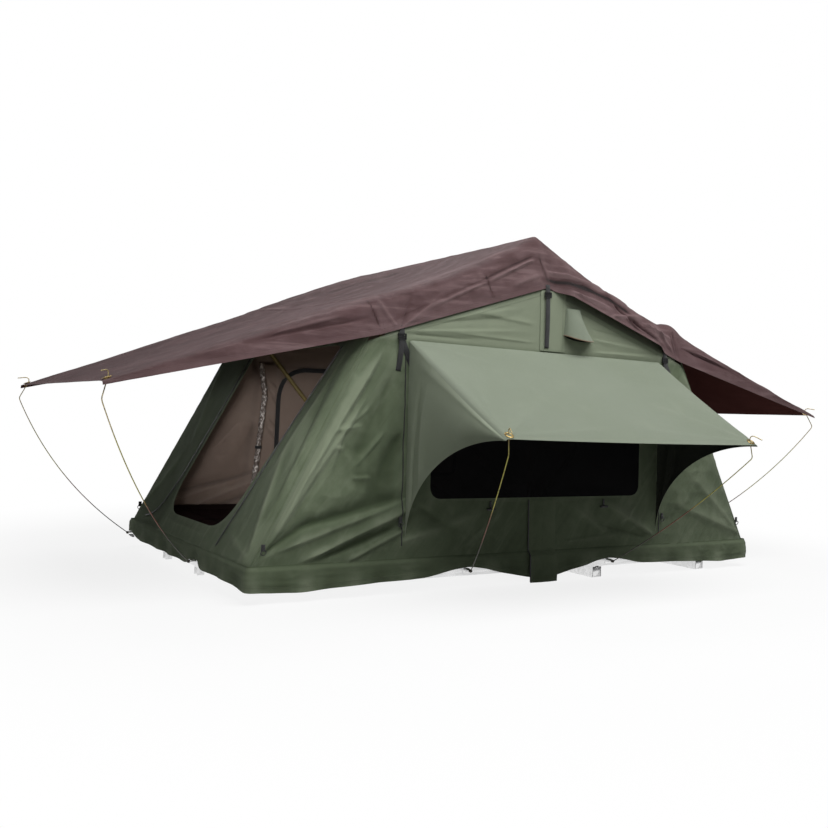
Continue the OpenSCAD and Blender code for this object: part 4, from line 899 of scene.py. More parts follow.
def makeWall(half, side):
    # half a long wall: a ruled sheet between half of the window's outline and the wall's own outline
    w = wallPiece
    a, r, low, high = w["windowHalf"], w["windowRound"], w["windowLow"], w["windowTop"]
    line = roundedRun([(0, low), (a, low), (a, high), (0, high)], [r, r], [40, 30, 40])
    cuts = [int(np.argmin(np.hypot(line[:, 0] - a, line[:, 1] - z))) for z in (low + r * 0.3, high - r * 0.3)]
    inner = joinRuns([line[:cuts[0] + 1], line[cuts[0]:cuts[1] + 1], line[cuts[1]:]], w["counts"])
    zs = np.linspace(tent["bendZ"], 0.95, 400)
    xs = endLine(zs) - w["endGap"]
    hit = int(np.argmin(np.abs(zs - wallTop(xs)))) + 1
    foot = [(0, w["foot"]), (xs[0], w["foot"])]
    rise = np.concatenate([foot[1:], np.stack([xs[:hit], zs[:hit]], -1)])
    topX = np.linspace(xs[hit - 1], 0, 200)
    outer = joinRuns([foot, rise, np.stack([topX, wallTop(topX)], -1)], w["counts"])
    ringAt = np.linspace(0, 1, w["rings"])[None, :]
    flat = mix(inner[:, None], outer[:, None], ringAt[..., None])
    x, z = flat[..., 0] * half, flat[..., 1]
    folds, slack, small = wallShift(x, z, side)
    hold = ease(ringAt / 0.12) * ease((1 - ringAt) / 0.07)
    shift = (folds + slack + small) * hold * ease(np.abs(x) / 0.05)
    away, inset = roundOff((endLine(z) - w["endGap"] - np.abs(x)) * endSin)
    points = onWall(x, z, shift - w["inset"] - inset, side)
    points = points - np.stack([half * away * endSin, 0 * away, away * endCos], -1)
    # painted highlight and shade: pulls and crumples lighten or darken the cloth where they lift or sink
    piece = gridPiece("longWall" + tagOf(half, side), points, (0, side, 0), hem=rimGap(flat, inner, outer),
                      fold=np.clip((folds * w["foldShadeScale"] + small * w["crumpleShadeScale"]) * hold, -1, 1))
    thicken(piece, w["thickness"], lining=True)
    finishPiece(piece, [wallCanvas, tanLining], bodyOf(half), "canvas", halfOf(half) + "_side_walls")
    halfOf(half) + "_clamp_strips"
    gridArea(points)
    dropToFrame(piece)


for half, side in quarters:
    makeWall(half, side)
print("long walls made")


netPiece = {"overlap": 0.010, "inset": 0.0024, "bow": 0.004, "columns": 60, "rows": 50}


def makeNetting(half, side):
    # half a window panel: columns from the fold to the rounded end, each as tall as the outline there
    w, k = wallPiece, netPiece
    a, r = w["windowHalf"] + k["overlap"], w["windowRound"] + k["overlap"]
    x = a * np.sin(np.linspace(0, math.pi / 2, k["columns"]))[:, None]
    cut = r - np.sqrt(np.maximum(r * r - np.maximum(x - (a - r), 0) ** 2, 0))
    t = np.linspace(0, 1, k["rows"])[None, :]
    z = mix(w["windowLow"] - k["overlap"] + cut, w["windowTop"] + k["overlap"] - cut, t)
    bow = k["bow"] * np.sin(np.pi * t) * np.cos(x / a * np.pi / 2)
    points = onWall(x * half, z, -k["inset"] - bow, side)
    piece = gridPiece("windowNet" + tagOf(half, side), points, (0, side, 0))
    finishPiece(piece, windowNetting, bodyOf(half), "mesh", "window_meshes")
    gridArea(points)
    dropToFrame(piece)


for half, side in quarters:
    makeNetting(half, side)
print("window netting made")


# the door's corners: near low, near high, far high, far low as seen in Y and Z, each with its radius
endPiece = {
    "rings": 34, "thickness": 0.0012, "keep": 0.08, "counts": (80, 90, 70, 90), "footZ": 0.10, "topZ": 0.985,
    "topY": 0.632, "kneeZ": 0.89, "past": (0.009, 0.86, 0.05), "inset": 0.0004,
    "door": [(-0.330, 0.195), (-0.545, 0.86), (0.268, 0.86), (0.300, 0.195)],
    "doorRound": (0.12, 0.06, 0.06, 0.15), "shade": (0.9, 0.24, 0.08),
    "pulls": [(-0.66, 0.15, -0.52, 0.48, 0.03, 0.01), (-0.64, 0.3, -0.58, 0.75, 0.028, -0.008),
              (-0.6, 0.86, -0.5, 0.4, 0.03, 0.009), (0.64, 0.15, 0.45, 0.42, 0.04, 0.007),
              (0.62, 0.85, 0.42, 0.45, 0.04, 0.007), (-0.3, 0.16, 0.3, 0.17, 0.02, 0.004),
              (-0.68, 0.14, -0.4, 0.2, 0.02, 0.006), (0.66, 0.13, 0.3, 0.16, 0.018, 0.004)],
}


def endSide(z):
    # half the width of an end wall: along the long walls, then drawn in to the shoulder
    e = endPiece
    share = np.clip((e["topZ"] - z) / (e["topZ"] - e["kneeZ"]), 0, 1)
    return np.minimum(wallFace(z), mix(e["topY"], wallFace(e["kneeZ"]), share))


def doorLine():
    # outline of the door, cut at its corners into runs that match those of the wall's outline
    corners = np.array(endPiece["door"])
    start = mix(corners[3], corners[0], 0.5)
    line = roundedRun([start, *corners, start], endPiece["doorRound"], [30, 60, 60, 60, 30])
    a, b, c, d = (int(np.argmin(np.hypot(*(line - corner).T))) for corner in corners)
    runs = [np.concatenate([line[d:], line[1:a + 1]]), line[a:b + 1], line[b:c + 1], line[c:d + 1]]
    return joinRuns(runs, endPiece["counts"], closed=True)


def makeEnd(half):
    # rings between the wall's outline and the door's, or a point in the middle where there is no door
    e = endPiece
    door = half < 0
    zs = np.linspace(e["footZ"], e["topZ"], 90)
    past, pastZ, pastEase = e["past"]       # the wall runs a little past the middle of the rounded corner
    edge = np.stack([endSide(zs) + past * ease((pastZ - zs) / pastEase), zs], -1)
    right, left = edge * np.array([-1, 1]), edge[::-1]
    outer = joinRuns([[left[-1], right[0]], right, [right[-1], left[0]], left], e["counts"], closed=True)
    inner = doorLine() if door else mix(outer.mean(0), outer, 0.004)
    ringAt = np.linspace(0, 1, e["rings"])[None, :]
    flat = mix(inner[:, None], outer[:, None], ringAt[..., None] ** (1.0 if door else 0.8))
    y, z = flat[..., 0], flat[..., 1]
    folds = creases(y, z, e["pulls"]) if door else creases(-y, z, e["pulls"][:5]) * 0.7
    small = crumple(y, z, 0.11, 51 + half) * 0.0014 + crumple(y, z, 0.05, 53) * 0.0006
    lift = (folds + small) * (ease(ringAt / 0.10) if door else 1) * ease((1 - ringAt) / 0.12)
    away, inset = roundOff(endSide(z) - np.abs(y))
    points = endPoint(y - np.sign(y) * away, z, lift - e["inset"] - inset, half)
    # a strip beside the door lies in shade and is the darkest of the wall
    depth, shadeY, shadeEase = e["shade"]
    # painted highlight and shade: the cloth is lighter where it lifts and darker where it sinks
    fold = lift * 75 - (depth * ease((y - shadeY) / shadeEase) if door else 0)
    piece = gridPiece("doorWall" if door else "endWall", points, (half, 0, 0.5), closed=True,
                      fold=np.clip(fold, -1, 1), hem=rimGap(flat, *([inner, outer] if door else [outer])))
    if not door:
        weld(piece)
    thicken(piece, e["thickness"], lining=True)
    node = "door_wall" if door else "fixed_end_wall"
    finishPiece(piece, [wallCanvas, tanLining], bodyOf(half), "canvas", node)
    gridArea(np.concatenate([points, points[:1]]))
    foldEnd(half, piece)


def foldEnd(half, *pieces):
    # an end wall and its trim each get a mesh of their own
    for piece in pieces:
        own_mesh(piece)


makeEnd(1)
makeEnd(-1)


pipingPiece = {"low": 0.100, "high": 0.905, "radius": 0.0034, "insetX": 0.001, "insetY": 0.0008}


def makePiping(half, side):
    # cord along the middle of the rounded corner
    k = pipingPiece
    zs = np.linspace(k["low"], k["high"], 60)
    back = cornerRound * (1 - math.sqrt(0.5))
    x = half * (endLine(zs) - k["insetX"] - back * endSin)
    y = side * (wallFace(zs) - k["insetY"] - back)
    line = np.stack([x, y, zs - back * endCos], -1)
    cord = tubePiece("cornerPiping" + tagOf(half, side), line, k["radius"], 10, side=(1, 0, 0))
    finishPiece(cord, wallCanvas, bodyOf(half), "canvas")
    dropToFrame(cord)


for half, side in quarters:
    makePiping(half, side)
print("end walls made")


awningPiece = {
    "seamZ": 0.882, "seamY": 0.6806, "frontZ": 0.558, "frontY": 1.208, "topHalf": 0.619, "frontHalf": 0.588,
    "footZ": 0.172, "columns": 90, "rows": 60, "gussetGrid": (70, 44), "thickness": 0.0012, "sag": 0.007,
    "hemSag": 0.004, "tuck": (0.722, 0.150), "bands": 4, "keep": 0.02, "lip": 0.006, "round": (0.010, 0.016),
    "roundTurn": math.radians(66), "puff": 0.018,
    "pulls": [(0.58, 0.98, 0.25, 0.55, 0.05, 0.005), (0.56, 0.97, 0.05, 0.86, 0.04, 0.004),
              (0.58, 0.95, 0.5, 0.4, 0.03, 0.004), (0.6, 0.02, 0.3, 0.25, 0.05, 0.003)],
    "gussetPulls": [(1.17, 0.572, 0.72, 0.815, 0.022, 0.007), (1.17, 0.585, 0.72, 0.86, 0.022, -0.004),
                    (0.715, 0.24, 0.765, 0.76, 0.02, -0.006), (0.76, 0.3, 0.8, 0.7, 0.025, 0.006)],
}
awningDrop = awningPiece["seamZ"] - awningPiece["frontZ"]
awningReach = awningPiece["frontY"] - awningPiece["seamY"]
awningFall = math.atan2(awningDrop, awningReach)


def foldInto(piece, side, y, z):
    # each band gets a mesh of its own; the direction to the roll's line beside the frame is worked out but
    # not used
    ty, tz = awningPiece["tuck"]
    axis = unit(np.array([0, side * (abs(y) - ty), z - tz]))
    side * ty
    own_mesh(piece)


def splitBands(name, points, fold, hem, facing, half, side, material):
    # cut a grid along its second direction where the angle seen from the roll passes each limit
    bands = awningPiece["bands"]
    ty, tz = awningPiece["tuck"]
    middle = points.mean(0)
    angle = np.arctan2(middle[:, 2] - tz, np.abs(middle[:, 1]) - ty)
    limits = np.linspace(angle.min(), angle.max(), bands + 1)
    place = np.clip(np.searchsorted(limits, angle) - 1, 0, bands - 1)
    cuts = [0] + [int(i) for i in np.nonzero(np.diff(place))[0] + 1] + [points.shape[1] - 1]
    for i, (a, b) in enumerate(zip(cuts[:-1], cuts[1:])):
        if b <= a:
            continue
        part = points[:, a:b + 1]
        piece = gridPiece(name + str(i), part, facing, fold=fold[:, a:b + 1], hem=hem[:, a:b + 1])
        thicken(piece, awningPiece["thickness"], lining=True)
        finishPiece(piece, [material, paintedShadeLining], bodyOf(half), "canvas", sideOf(side).lower() + "_awning")
        gridArea(part)
        foldInto(piece, side, *part.mean((0, 1))[1:])


def makeAwning(half, side):
    # sloping panel from the wall seam to the front hem, sagging a little, with pulls from the front corner
    a = awningPiece
    u, v = lattice(a["columns"], a["rows"])
    wide = mix(a["topHalf"], a["frontHalf"], v)
    x = u * wide
    y = mix(a["seamY"], a["frontY"], v) + 0 * u
    z = mix(a["seamZ"], a["frontZ"], v) + 0 * u
    folds = creases(x, v + 0 * x, a["pulls"])
    small = crumple(x, y, 0.13, 61) * 0.0009
    lift = (folds * ease(u / 0.08) + small * ease(u / 0.12)) * ease(v / 0.06) * ease((1 - v) / 0.05)
    lift = lift - (a["sag"] * np.sin(np.pi * v) + a["hemSag"] * ease((v - 0.8) / 0.2)) * (1 - u ** 2)
    # the side edge bends down on an arc that is widest halfway
    bend = a["round"][0] + a["round"][1] * np.sin(np.pi * v)
    turn = np.clip(1 - (1 - u) * wide / bend, 0, 1) * a["roundTurn"]
    x = np.where(turn > 0, wide - bend + bend * np.sin(turn), x)
    lift = lift - bend * (1 - np.cos(turn))
    y, z = y + lift * math.sin(awningFall), z + lift * math.cos(awningFall)
    points = np.stack([x * half, y * side, z], -1)
    # painted highlight and shade: the panel is lighter where its pulls lift and darker where they sink
    fold = np.clip((folds + small) * 60 * ease(u / 0.1), -1, 1)
    hem = np.minimum((1 - v) * 0.62 + 0 * u, (1 - u) * wide)
    splitBands("awning" + tagOf(half, side), points, fold, hem, (0, side * 0.5, 1), half, side, awningCanvasPaintedSheen)
    # gusset: ruled between the panel's side edge and a quarter ellipse from the wall foot to the front corner
    v, t = lattice(*a["gussetGrid"])
    turn = (1 - v) * np.pi / 2
    footY = wallFace(a["footZ"]) + 0.0008
    edgeY = a["frontY"] - (a["frontY"] - footY) * np.sin(turn)
    edgeZ = a["footZ"] + (a["frontZ"] - a["lip"] - a["footZ"]) * np.cos(turn)
    edgeX = mix(a["topHalf"], a["frontHalf"], (edgeY - a["seamY"]) / awningReach) - 0.001
    topX, topY, topZ = np.split(np.abs(resample(points[-1], len(v))), 3, axis=1)
    gx, gy, gz = mix(topX, edgeX, t), mix(topY, edgeY, t), mix(topZ, edgeZ, t)
    puff = a["puff"] * np.sin(np.pi * t ** 0.75) * np.sin(np.pi * v) ** 0.8
    puff = puff + 0.003 * np.sin(3 * np.pi * v) * np.sin(np.pi * t)
    pull = creases(gy, gz, a["gussetPulls"])
    bow = puff + pull * ease((1 - t) / 0.1) * ease(v / 0.08) * ease(t / 0.1)
    points = np.stack([(gx + bow) * half, gy * side, gz], -1).transpose(1, 0, 2)[:, ::-1]
    # painted highlight and shade: the gusset is lighter and darker along its pulls
    fold = np.clip(pull * 70, -1, 1).T[:, ::-1]
    hem = ((1 - t) * np.maximum(np.abs(topZ - edgeZ), 0.02)).T[:, ::-1]
    splitBands("gusset" + tagOf(half, side), points, fold, hem, (half, 0, 0), half, side, gussetCanvasPaintedLight)


for half, side in quarters:
    makeAwning(half, side)
print("awnings made")


# hang: drop of the side hem at each X; the end hem lifts over the rods' feet
skirtPiece = {
    "hang": [(0, 0.104), (0.06, 0.098), (0.2, 0.072), (0.27, 0.052), (0.35, 0.043), (0.43, 0.052),
             (0.52, 0.072), (0.8, 0.08), (1.03, 0.091), (1.19, 0.084)],
    "endHang": 0.073, "cornerHang": 0.010, "rodLift": 0.031, "endRods": (-0.20, 0.625), "rodWidth": 0.042,
    "tuck": 0.005, "flare": 0.009, "wave": 0.0035, "pitch": 0.19, "columns": 420, "rows": 20,
    "thickness": 0.0012, "keep": 0.45, "bend": 0.016, "foldGap": 0.005, "flat": 0.10,
}


def makeSkirt(half):
    # strip hung round three sides: a path with rounded corners, each point dropped and flared to a wavy hem
    k = skirtPiece
    topY, topX = wallFace(tent["seamZ"]) + 0.0004, tent["halfLength"] + 0.0038
    corners = [(k["foldGap"], -topY), (topX, -topY), (topX, topY), (k["foldGap"], topY)]
    plan = resample(roundedRun(corners, [k["bend"]] * 2, [200] * 3), k["columns"])
    x, y = plan.T
    tangent = np.gradient(plan, axis=0)
    out = unit(np.stack([tangent[:, 1], -tangent[:, 0]], -1))
    out *= np.sign((out * (plan - np.array([0.5, 0]))).sum(1, keepdims=True))
    lifts = sum(np.exp(-((y - rod) / k["rodWidth"]) ** 2) for rod in k["endRods"])
    endDrop = k["endHang"] + k["cornerHang"] * ease((np.abs(y) - 0.50) / 0.18) - k["rodLift"] * lifts
    sideDrop = np.interp(x, *np.array(k["hang"]).T)
    drop = mix(sideDrop, endDrop, ease((x - (topX - 0.06)) / 0.05))[:, None]
    drop = smooth(drop, np.hanning(13))
    corner = np.exp(-(np.hypot(topX - x, topY - np.abs(y)) / 0.08) ** 2)[:, None]
    run = running(plan)
    t = np.linspace(0, 1, k["rows"])[None, :]
    wave = k["wave"] * np.sin(2 * np.pi * run / k["pitch"]) + 0.0022 * cloud(run, 0 * run, 0.07, 71)
    wave = wave[:, None]
    small = 0.0016 * crumple(run[:, None] + 0 * t, t * drop * 2, 0.05, 73)
    shift = k["flare"] * (0.62 * ease(t / 0.22) + 0.38 * t) + wave * t ** 1.4 + small * ease(t / 0.2)
    shift = shift - k["tuck"] * corner * ease((t - 0.6) / 0.4)
    z = tent["seamZ"] + 0.0012 - drop * t
    points = np.stack([(x[:, None] + out[:, :1] * shift) * half, y[:, None] + out[:, 1:] * shift, z], -1)
    # painted highlight and shade: folds that bulge out are lighter and those that fall back darker; the line
    # along the top seam is darker
    seam = np.exp(-(t * drop / 0.004) ** 2)
    piece = gridPiece("skirt" + halfOf(half).capitalize(), points, hem=(1 - t) * drop,
                      fold=np.clip(wave * 260 * t - seam, -1, 1))
    # faces point away from the middle of the floor half
    normals = np.empty(points.size)
    piece.data.vertices.foreach_get("normal", normals)
    outward = points - np.array([half * 0.5, 0, 0])
    if (normals.reshape(points.shape) * outward)[..., :2].sum() < 0:
        piece.data.flip_normals()
    thicken(piece, k["thickness"])
    finishPiece(piece, skirtCanvas, bodyOf(half), "skirt", halfOf(half) + "_skirt")
    min(gridArea(points), k["flat"] * run[-1])
    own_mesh(piece)


makeSkirt(1)
makeSkirt(-1)
print("skirts made")


# profile: inset and height of each ring above the floor, between the middle of the underside and of the crown
mattressPiece = {
    "x0": 0.009, "x1": 1.173, "y1": 0.616, "inset": 0.006, "draw": 0.014, "cap": 0.008, "voxel": 0.013,
    "frames": 14, "pressure": 3.0, "fuller": 0.020, "packed": 0.70, "fill": 0.7, "square": 0.16,
    "centre": 0.02,
    "profile": [(0.012, 0), (0.004, 0.006), (0, 0.018), (0, 0.052), (0.003, 0.063), (0.012, 0.07),
                (0.05, 0.073), (0.15, 0.075), (0.3, 0.076), (0.5, 0.077)],
    "channels": (0.308, 0.31), "channelWidth": 0.010, "channelDepth": 0.006, "topFrom": (0.167, 0.015),
}


def mattressShape():
    # stacked rings of a rounded outline whose sides draw in between the corners, closed at floor and crown
    k = mattressPiece
    a, b = (k["x1"] - k["x0"]) / 2 - k["inset"], k["y1"] - k["inset"]
    w = np.linspace(0, 2 * np.pi, 160, endpoint=False)[:, None]
    cx, cy = (np.sign(c) * np.abs(c) ** k["square"] for c in (np.cos(w), np.sin(w)))
    middle = a - k["centre"]
    inset, high = np.array([(middle, 0), *k["profile"], (middle, k["profile"][-1][1])]).T[:, None]
    x = (a - inset - k["draw"] * (1 - cy ** 2) * (inset < 0.3)) * cx
    y = (b - inset * b / a - k["draw"] * (1 - cx ** 2) * (inset < 0.3)) * cy
    return np.stack([x + (k["x0"] + k["x1"]) / 2, y, 0 * x + high + tent["floorZ"] + 0.0005], -1)


def meshPoints(mesh):
    flat = np.empty(len(mesh.vertices) * 3)
    mesh.vertices.foreach_get("co", flat)
    return flat.reshape(-1, 3)


def inflate(piece):
    # cloth pressure swells the cover: places of the points before and after
    k = mattressPiece
    remesh = piece.modifiers.new("remesh", "REMESH")
    remesh.mode = "VOXEL"
    remesh.voxel_size = k["voxel"]
    bpy.context.view_layer.objects.active = piece
    bpy.ops.object.modifier_apply(modifier="remesh")
    start = meshPoints(piece.data)
    cloth = piece.modifiers.new("cover", "CLOTH")
    cloth.settings.use_pressure = True
    cloth.settings.uniform_pressure_force = k["pressure"]
    cloth.settings.effector_weights.gravity = 0
    cloth.settings.quality = 4
    cloth.collision_settings.use_collision = False
    scene = bpy.context.scene
    for step in range(1, k["frames"] + 1):
        scene.frame_set(step)
    end = meshPoints(piece.evaluated_get(bpy.context.evaluated_depsgraph_get()).data)
    piece.modifiers.remove(cloth)
    scene.frame_set(1)
    return start, end


def makeMattress():
    # the swollen cover is made once, and the other half is its mirror image; no point moves more than the cap
    k = mattressPiece
    piece = gridPiece("mattressFixed", mattressShape(), closed=True)
    mesh = piece.data
    bm = bmesh.new()
    bm.from_mesh(mesh)
    bmesh.ops.holes_fill(bm, edges=[e for e in bm.edges if e.is_boundary], sides=0)
    bmesh.ops.recalc_face_normals(bm, faces=bm.faces)
    bm.to_mesh(mesh)
    bm.free()
    start, end = inflate(piece)
    mesh = piece.data
    move = end - start
    size = np.linalg.norm(move, axis=1, keepdims=True)
    end = start + move * np.minimum(1, k["cap"] / np.maximum(size, 1e-9))
    # quilting channels along and across the top
    x, y, z = end.T
    top = ease((z - k["topFrom"][0]) / k["topFrom"][1])
    across, along = k["channels"]
    offs = (np.mod(y + across / 2, across) - across / 2, np.mod(x - 0.28, along) - along / 2)
    channel = sum(np.exp(-(off / k["channelWidth"]) ** 2) for off in offs)
    end[:, 2] -= k["channelDepth"] * np.clip(channel, 0, 1) * top
    lo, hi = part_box("fixed_mattress")
    end = np.clip(end, np.array(lo) + 0.0004, np.array(hi) + np.array([0, 0, k["fuller"]]))
    mesh.vertices.foreach_set("co", end.astype(np.float32).ravel())
    # painted highlight and shade: the top is lighter, and darker along its channels
    dressMesh(mesh, end[:, :2], {"fold": np.clip(0.4 - channel, -1, 1) * top, "hem": np.ones(len(end))})
    other = newObject("mattressFlip", mesh.copy())
    other.data.transform(Matrix.Scale(-1, 4, (1, 0, 0)))
    other.data.flip_normals()
    for obj, half in ((piece, "fixed"), (other, "flip")):
        finishPiece(obj, mattressCover, half + "_base", "mattress", half + "_mattress")
        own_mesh(obj)


makeMattress()
print("mattress made")


sleevePiece = {
    "thickness": 0.0014, "columns": 12, "crown": 0.0022, "wave": 0.0012, "upperRows": 30, "wide": 0.098,
    "narrow": 0.030, "lower": 0.0655, "lowerTop": 0.317, "lowerFold": 0.124,
    "flap": [(0.712, 0.106), (0.716, 0.004)], "lowerCounts": (31, 7, 25), "tapeX": -0.068, "tapeWidth": 0.005,
}


def makeSleeve(name, half, side, ys, zs, width, material, wave=0.0):
    # half of a strip: columns from the fold line to its edge, rows down the given profile
    k = sleevePiece
    t = np.linspace(0, 1, k["columns"])[:, None]
    crown = k["crown"] * (1 - t ** 2) + k["wave"] * wave * np.sin(54 * zs + 5 * t)
    points = np.stack([t * width * half + 0 * crown, (ys + crown) * side, zs + 0 * crown], -1)
    # painted highlight: the crown of the strip is lighter
    piece = gridPiece(name + tagOf(half, side), points, (0, side, 0), fold=crown * 60, hem=(1 - t) * width)
    thicken(piece, k["thickness"])
    finishPiece(piece, material, bodyOf(half), "canvas", "centre_sleeves")
    dropToFrame(piece)


def makeSleeves():
    # the upper sleeve stands off centre, as in the photo; the lower one passes the frame and ends in a flap
    k = sleevePiece
    foot, fold = k["lowerTop"], k["lowerFold"]
    line = [(wallFace(foot) + 0.0012, foot), (wallFace(fold) + 0.003, fold), *k["flap"]]
    lowY, lowZ = joinRuns([line[i:i + 2] for i in range(3)], k["lowerCounts"]).T
    for half, side in quarters:
        zs = np.linspace(wallTop(np.array(0.0)) - 0.004, awningPiece["seamZ"] + 0.006, k["upperRows"])
        width = k["wide"] if half * side < 0 else k["narrow"]
        makeSleeve("upperSleeve", half, side, wallFace(zs) + 0.0012, zs, width, wallCanvas)
        makeSleeve("lowerSleeve", half, side, lowY, lowZ, k["lower"], skirtCanvas, wave=1.0)
    # painted shadow: a thin black strip along the lower sleeve's left edge stands in for the shadow in the
    # gap there
    for side in (-1, 1):
        zs = np.linspace(0.316, 0.008, 60)
        ys = np.interp(zs, lowZ[::-1], lowY[::-1])
        path = np.stack([k["tapeX"] + 0 * zs, side * (ys + 0.0016), zs], -1)
        tape = ribbon("sleeveShadowStrip" + sideOf(side), path, (1, 0, 0), k["tapeWidth"])
        finishPiece(tape, blackWebbing, "flip_base", "webbing")
        dropToFrame(tape)


makeSleeves()
print("sleeves made")


ventPiece = {"x0": (0.096, 0.088), "x1": (0.168, 0.230), "low": 0.937, "high": 1.060, "depth": 0.044,
             "lift": 0.0016, "grid": (44, 30), "thickness": 0.0014, "cord": 0.0021}


def makeVent(half, side):
    # small hood: a half cone from a narrow top under the fly to a wide arched mouth that stands off the wall
    k = ventPiece
    share, v = lattice(*k["grid"])
    u = share * 2 - 1
    mouth = k["low"] + 0.016 * (1 - np.sqrt(np.maximum(1 - (u * 0.98) ** 2, 0))) - 0.006 * u
    z = mix(k["high"], mouth, v)
    x = mix(mix(*k["x0"], v ** 1.5), mix(*k["x1"], v ** 1.5), share)
    lift = k["lift"] + k["depth"] * mix(0.35, 1.0, v) * np.maximum(1 - u ** 2, 0) ** 0.42
    points = onWall(x * half, z, lift, side)
    piece = gridPiece("ventHood" + sideOf(side), points, (0, side, 0), hem=(1 - v) * (k["high"] - k["low"]))
    thicken(piece, k["thickness"], lining=True)
    finishPiece(piece, [awningCanvasPaintedSheen, paintedShadeLining], bodyOf(half), "canvas", "vent_hoods")
    gridArea(points)
    rim = points[:, -1]
    cord = tubePiece("ventPiping" + sideOf(side), rim, k["cord"], 8, side=(0, side, 0))
    finishPiece(cord, rustPiping, bodyOf(half), "webbing")
    foot = onWall(rim[:, 0], rim[:, 2], 0.001, side)
    netGrid = np.stack([foot, rim - np.array([0, side * 0.004, -0.003])], 1)
    net = gridPiece("ventNet" + sideOf(side), netGrid, (0, 0, -1))
    finishPiece(net, windowNetting, bodyOf(half), "mesh")
    max(gridArea(np.stack([foot, rim], 1)), 0.0027)
    dropToFrame(piece, cord, net)


makeVent(1, -1)
makeVent(-1, 1)
print("vents made")


# each strap: X, drop of the tail, its drift and lift, and where the stay ends on the wall
strapPiece = {
    "width": 0.021, "stayWidth": 0.022, "above": 0.012, "stayFrom": 0.045, "bow": 0.004,
    "rows": {"ridge": (0.0, 0.245, 0.0, 0.0034, None), "left": (-0.6505, 0.16, -0.012, 0.0, (-0.598, 0.772)),
             "right": (0.6505, 0.16, 0.012, 0.0, (0.70, 0.80))},
}


def makeStraps():
    # three straps a side: from the hem through the buckle to a hanging tail, and a stay that ends on the wall
    k = strapPiece
    for side in (-1, 1):
        for label, (x, drop, drift, out, stay) in k["rows"].items():
            top = float(flyLines(np.array(x))[2]) + k["above"]
            zs = np.linspace(top, top - drop, 30)
            t = np.clip((top - zs) / drop, 0, 1)
            path = onWall(x + drift * t ** 2, zs, out + 0.0016 + k["bow"] * np.sin(np.pi * t), side)
            parts = [ribbon("strapTail", path, (1, 0, 0), k["width"])]
            if stay:
                zs = np.linspace(top - k["stayFrom"], stay[1], 20)
                path = onWall(np.linspace(x, stay[0], 20), zs, 0.0026, side)
                parts.append(ribbon("strapStay", path, (1, 0, 0.3), k["stayWidth"]))
            strap = joinPieces("flyStrap" + label.capitalize() + sideOf(side), parts)
            finishPiece(strap, blackWebbing, label + "_frame", "webbing", "fly_straps")


makeStraps()
print("straps made")


eyeletPiece = {"bore": 0.009, "wall": 0.002, "flange": 0.005, "inset": 0.020, "awningX": 0.565,
               "side": [(2, 0.003), (3, 0.0029), (4, 0.0032), (3, 0.004), (2, 0.0046), (1, 0.0038)]}


def makeEyelets():
    # turned ring: a flanged profile swept round the hole's axis, one in every held corner
    k, f, a = eyeletPiece, flyPiece, awningPiece
    rim = k["bore"] + k["wall"] + k["flange"]
    radius = {1: k["bore"], 2: k["bore"] + k["wall"], 3: rim - 0.001, 4: rim}
    upper = [(radius[i], z) for i, z in k["side"]]
    lower = [(r, -z) for r, z in upper[::-1]]
    profile = np.array([*lower, *upper, lower[0]])[None]
    slope = math.atan2(flyShoulderZ - f["tipZ"], f["tipX"] - flyEdgeX)
    length = math.hypot(awningDrop, awningReach) - k["inset"]
    awningY = a["seamY"] + length * math.cos(awningFall) - 0.0006
    awningZ = a["seamZ"] - length * math.sin(awningFall) - 0.0010
    w = np.linspace(0, 2 * np.pi, 37)[:, None]
    for sx in (-1, 1):
        tipX, tipZ = flyTip(sx)
        eyeX = tipX - k["inset"]
        eyeZ = mix(flyShoulderZ, tipZ, (eyeX - flyEdgeX) / (tipX - flyEdgeX)) + f["rise"]
        for sy in (-1, 1):
            flyPlace = (sx * eyeX, sy * (f["tipY"] - f["lip"] - k["inset"]), eyeZ)
            rows = [("fly", flyPlace, (sx * math.sin(slope), 0, math.cos(slope)), (0.0, 1, 0)),
                    ("awning", (sx * k["awningX"], sy * awningY, awningZ),
                     (0, sy * math.sin(awningFall), math.cos(awningFall)), (1.0, 0, 0))]
            for kind, centre, axis, across in rows:
                axis = np.array(axis)
                p = unit(np.cross(axis, across))
                spoke = (np.cos(w) * p + np.sin(w) * np.cross(axis, p))[:, None]
                ring = weldedPiece(kind + "Eyelet" + tagOf(sx, sy),
                                   np.array(centre) + spoke * profile[..., :1] + axis * profile[..., 1:])
                if kind == "fly":
                    finishPiece(ring, brassEyelet, "ridge_frame", "fly")
                    foldToRidge(ring)
                else:
                    finishPiece(ring, brassEyelet, bodyOf(sx), "canvas")
                    foldInto(ring, sy, *centre[1:])


makeEyelets()
print("eyelets made")


endRod = {"eye": (1.630, 0.674, 0.6999), "bow": 0.052, "kink": (0.030, 0.060)}
windowRod = {"eye": (0.565, 1.190, 0.567), "bow": 0.018, "kink": (0.010, 0.058)}
rodPiece = {
    "radius": 0.0018, "ball": 0.006, "neck": 0.012, "hookRadius": 0.011, "hookTurn": math.radians(125),
    "tail": 0.034, "window": {"foot": (0.350, 0.722, 0.066), **windowRod},
    "near_end": {"foot": (1.222, 0.200, 0.066), **endRod},
    "far_end": {"foot": (1.222, 0.625, 0.066), **endRod},
}


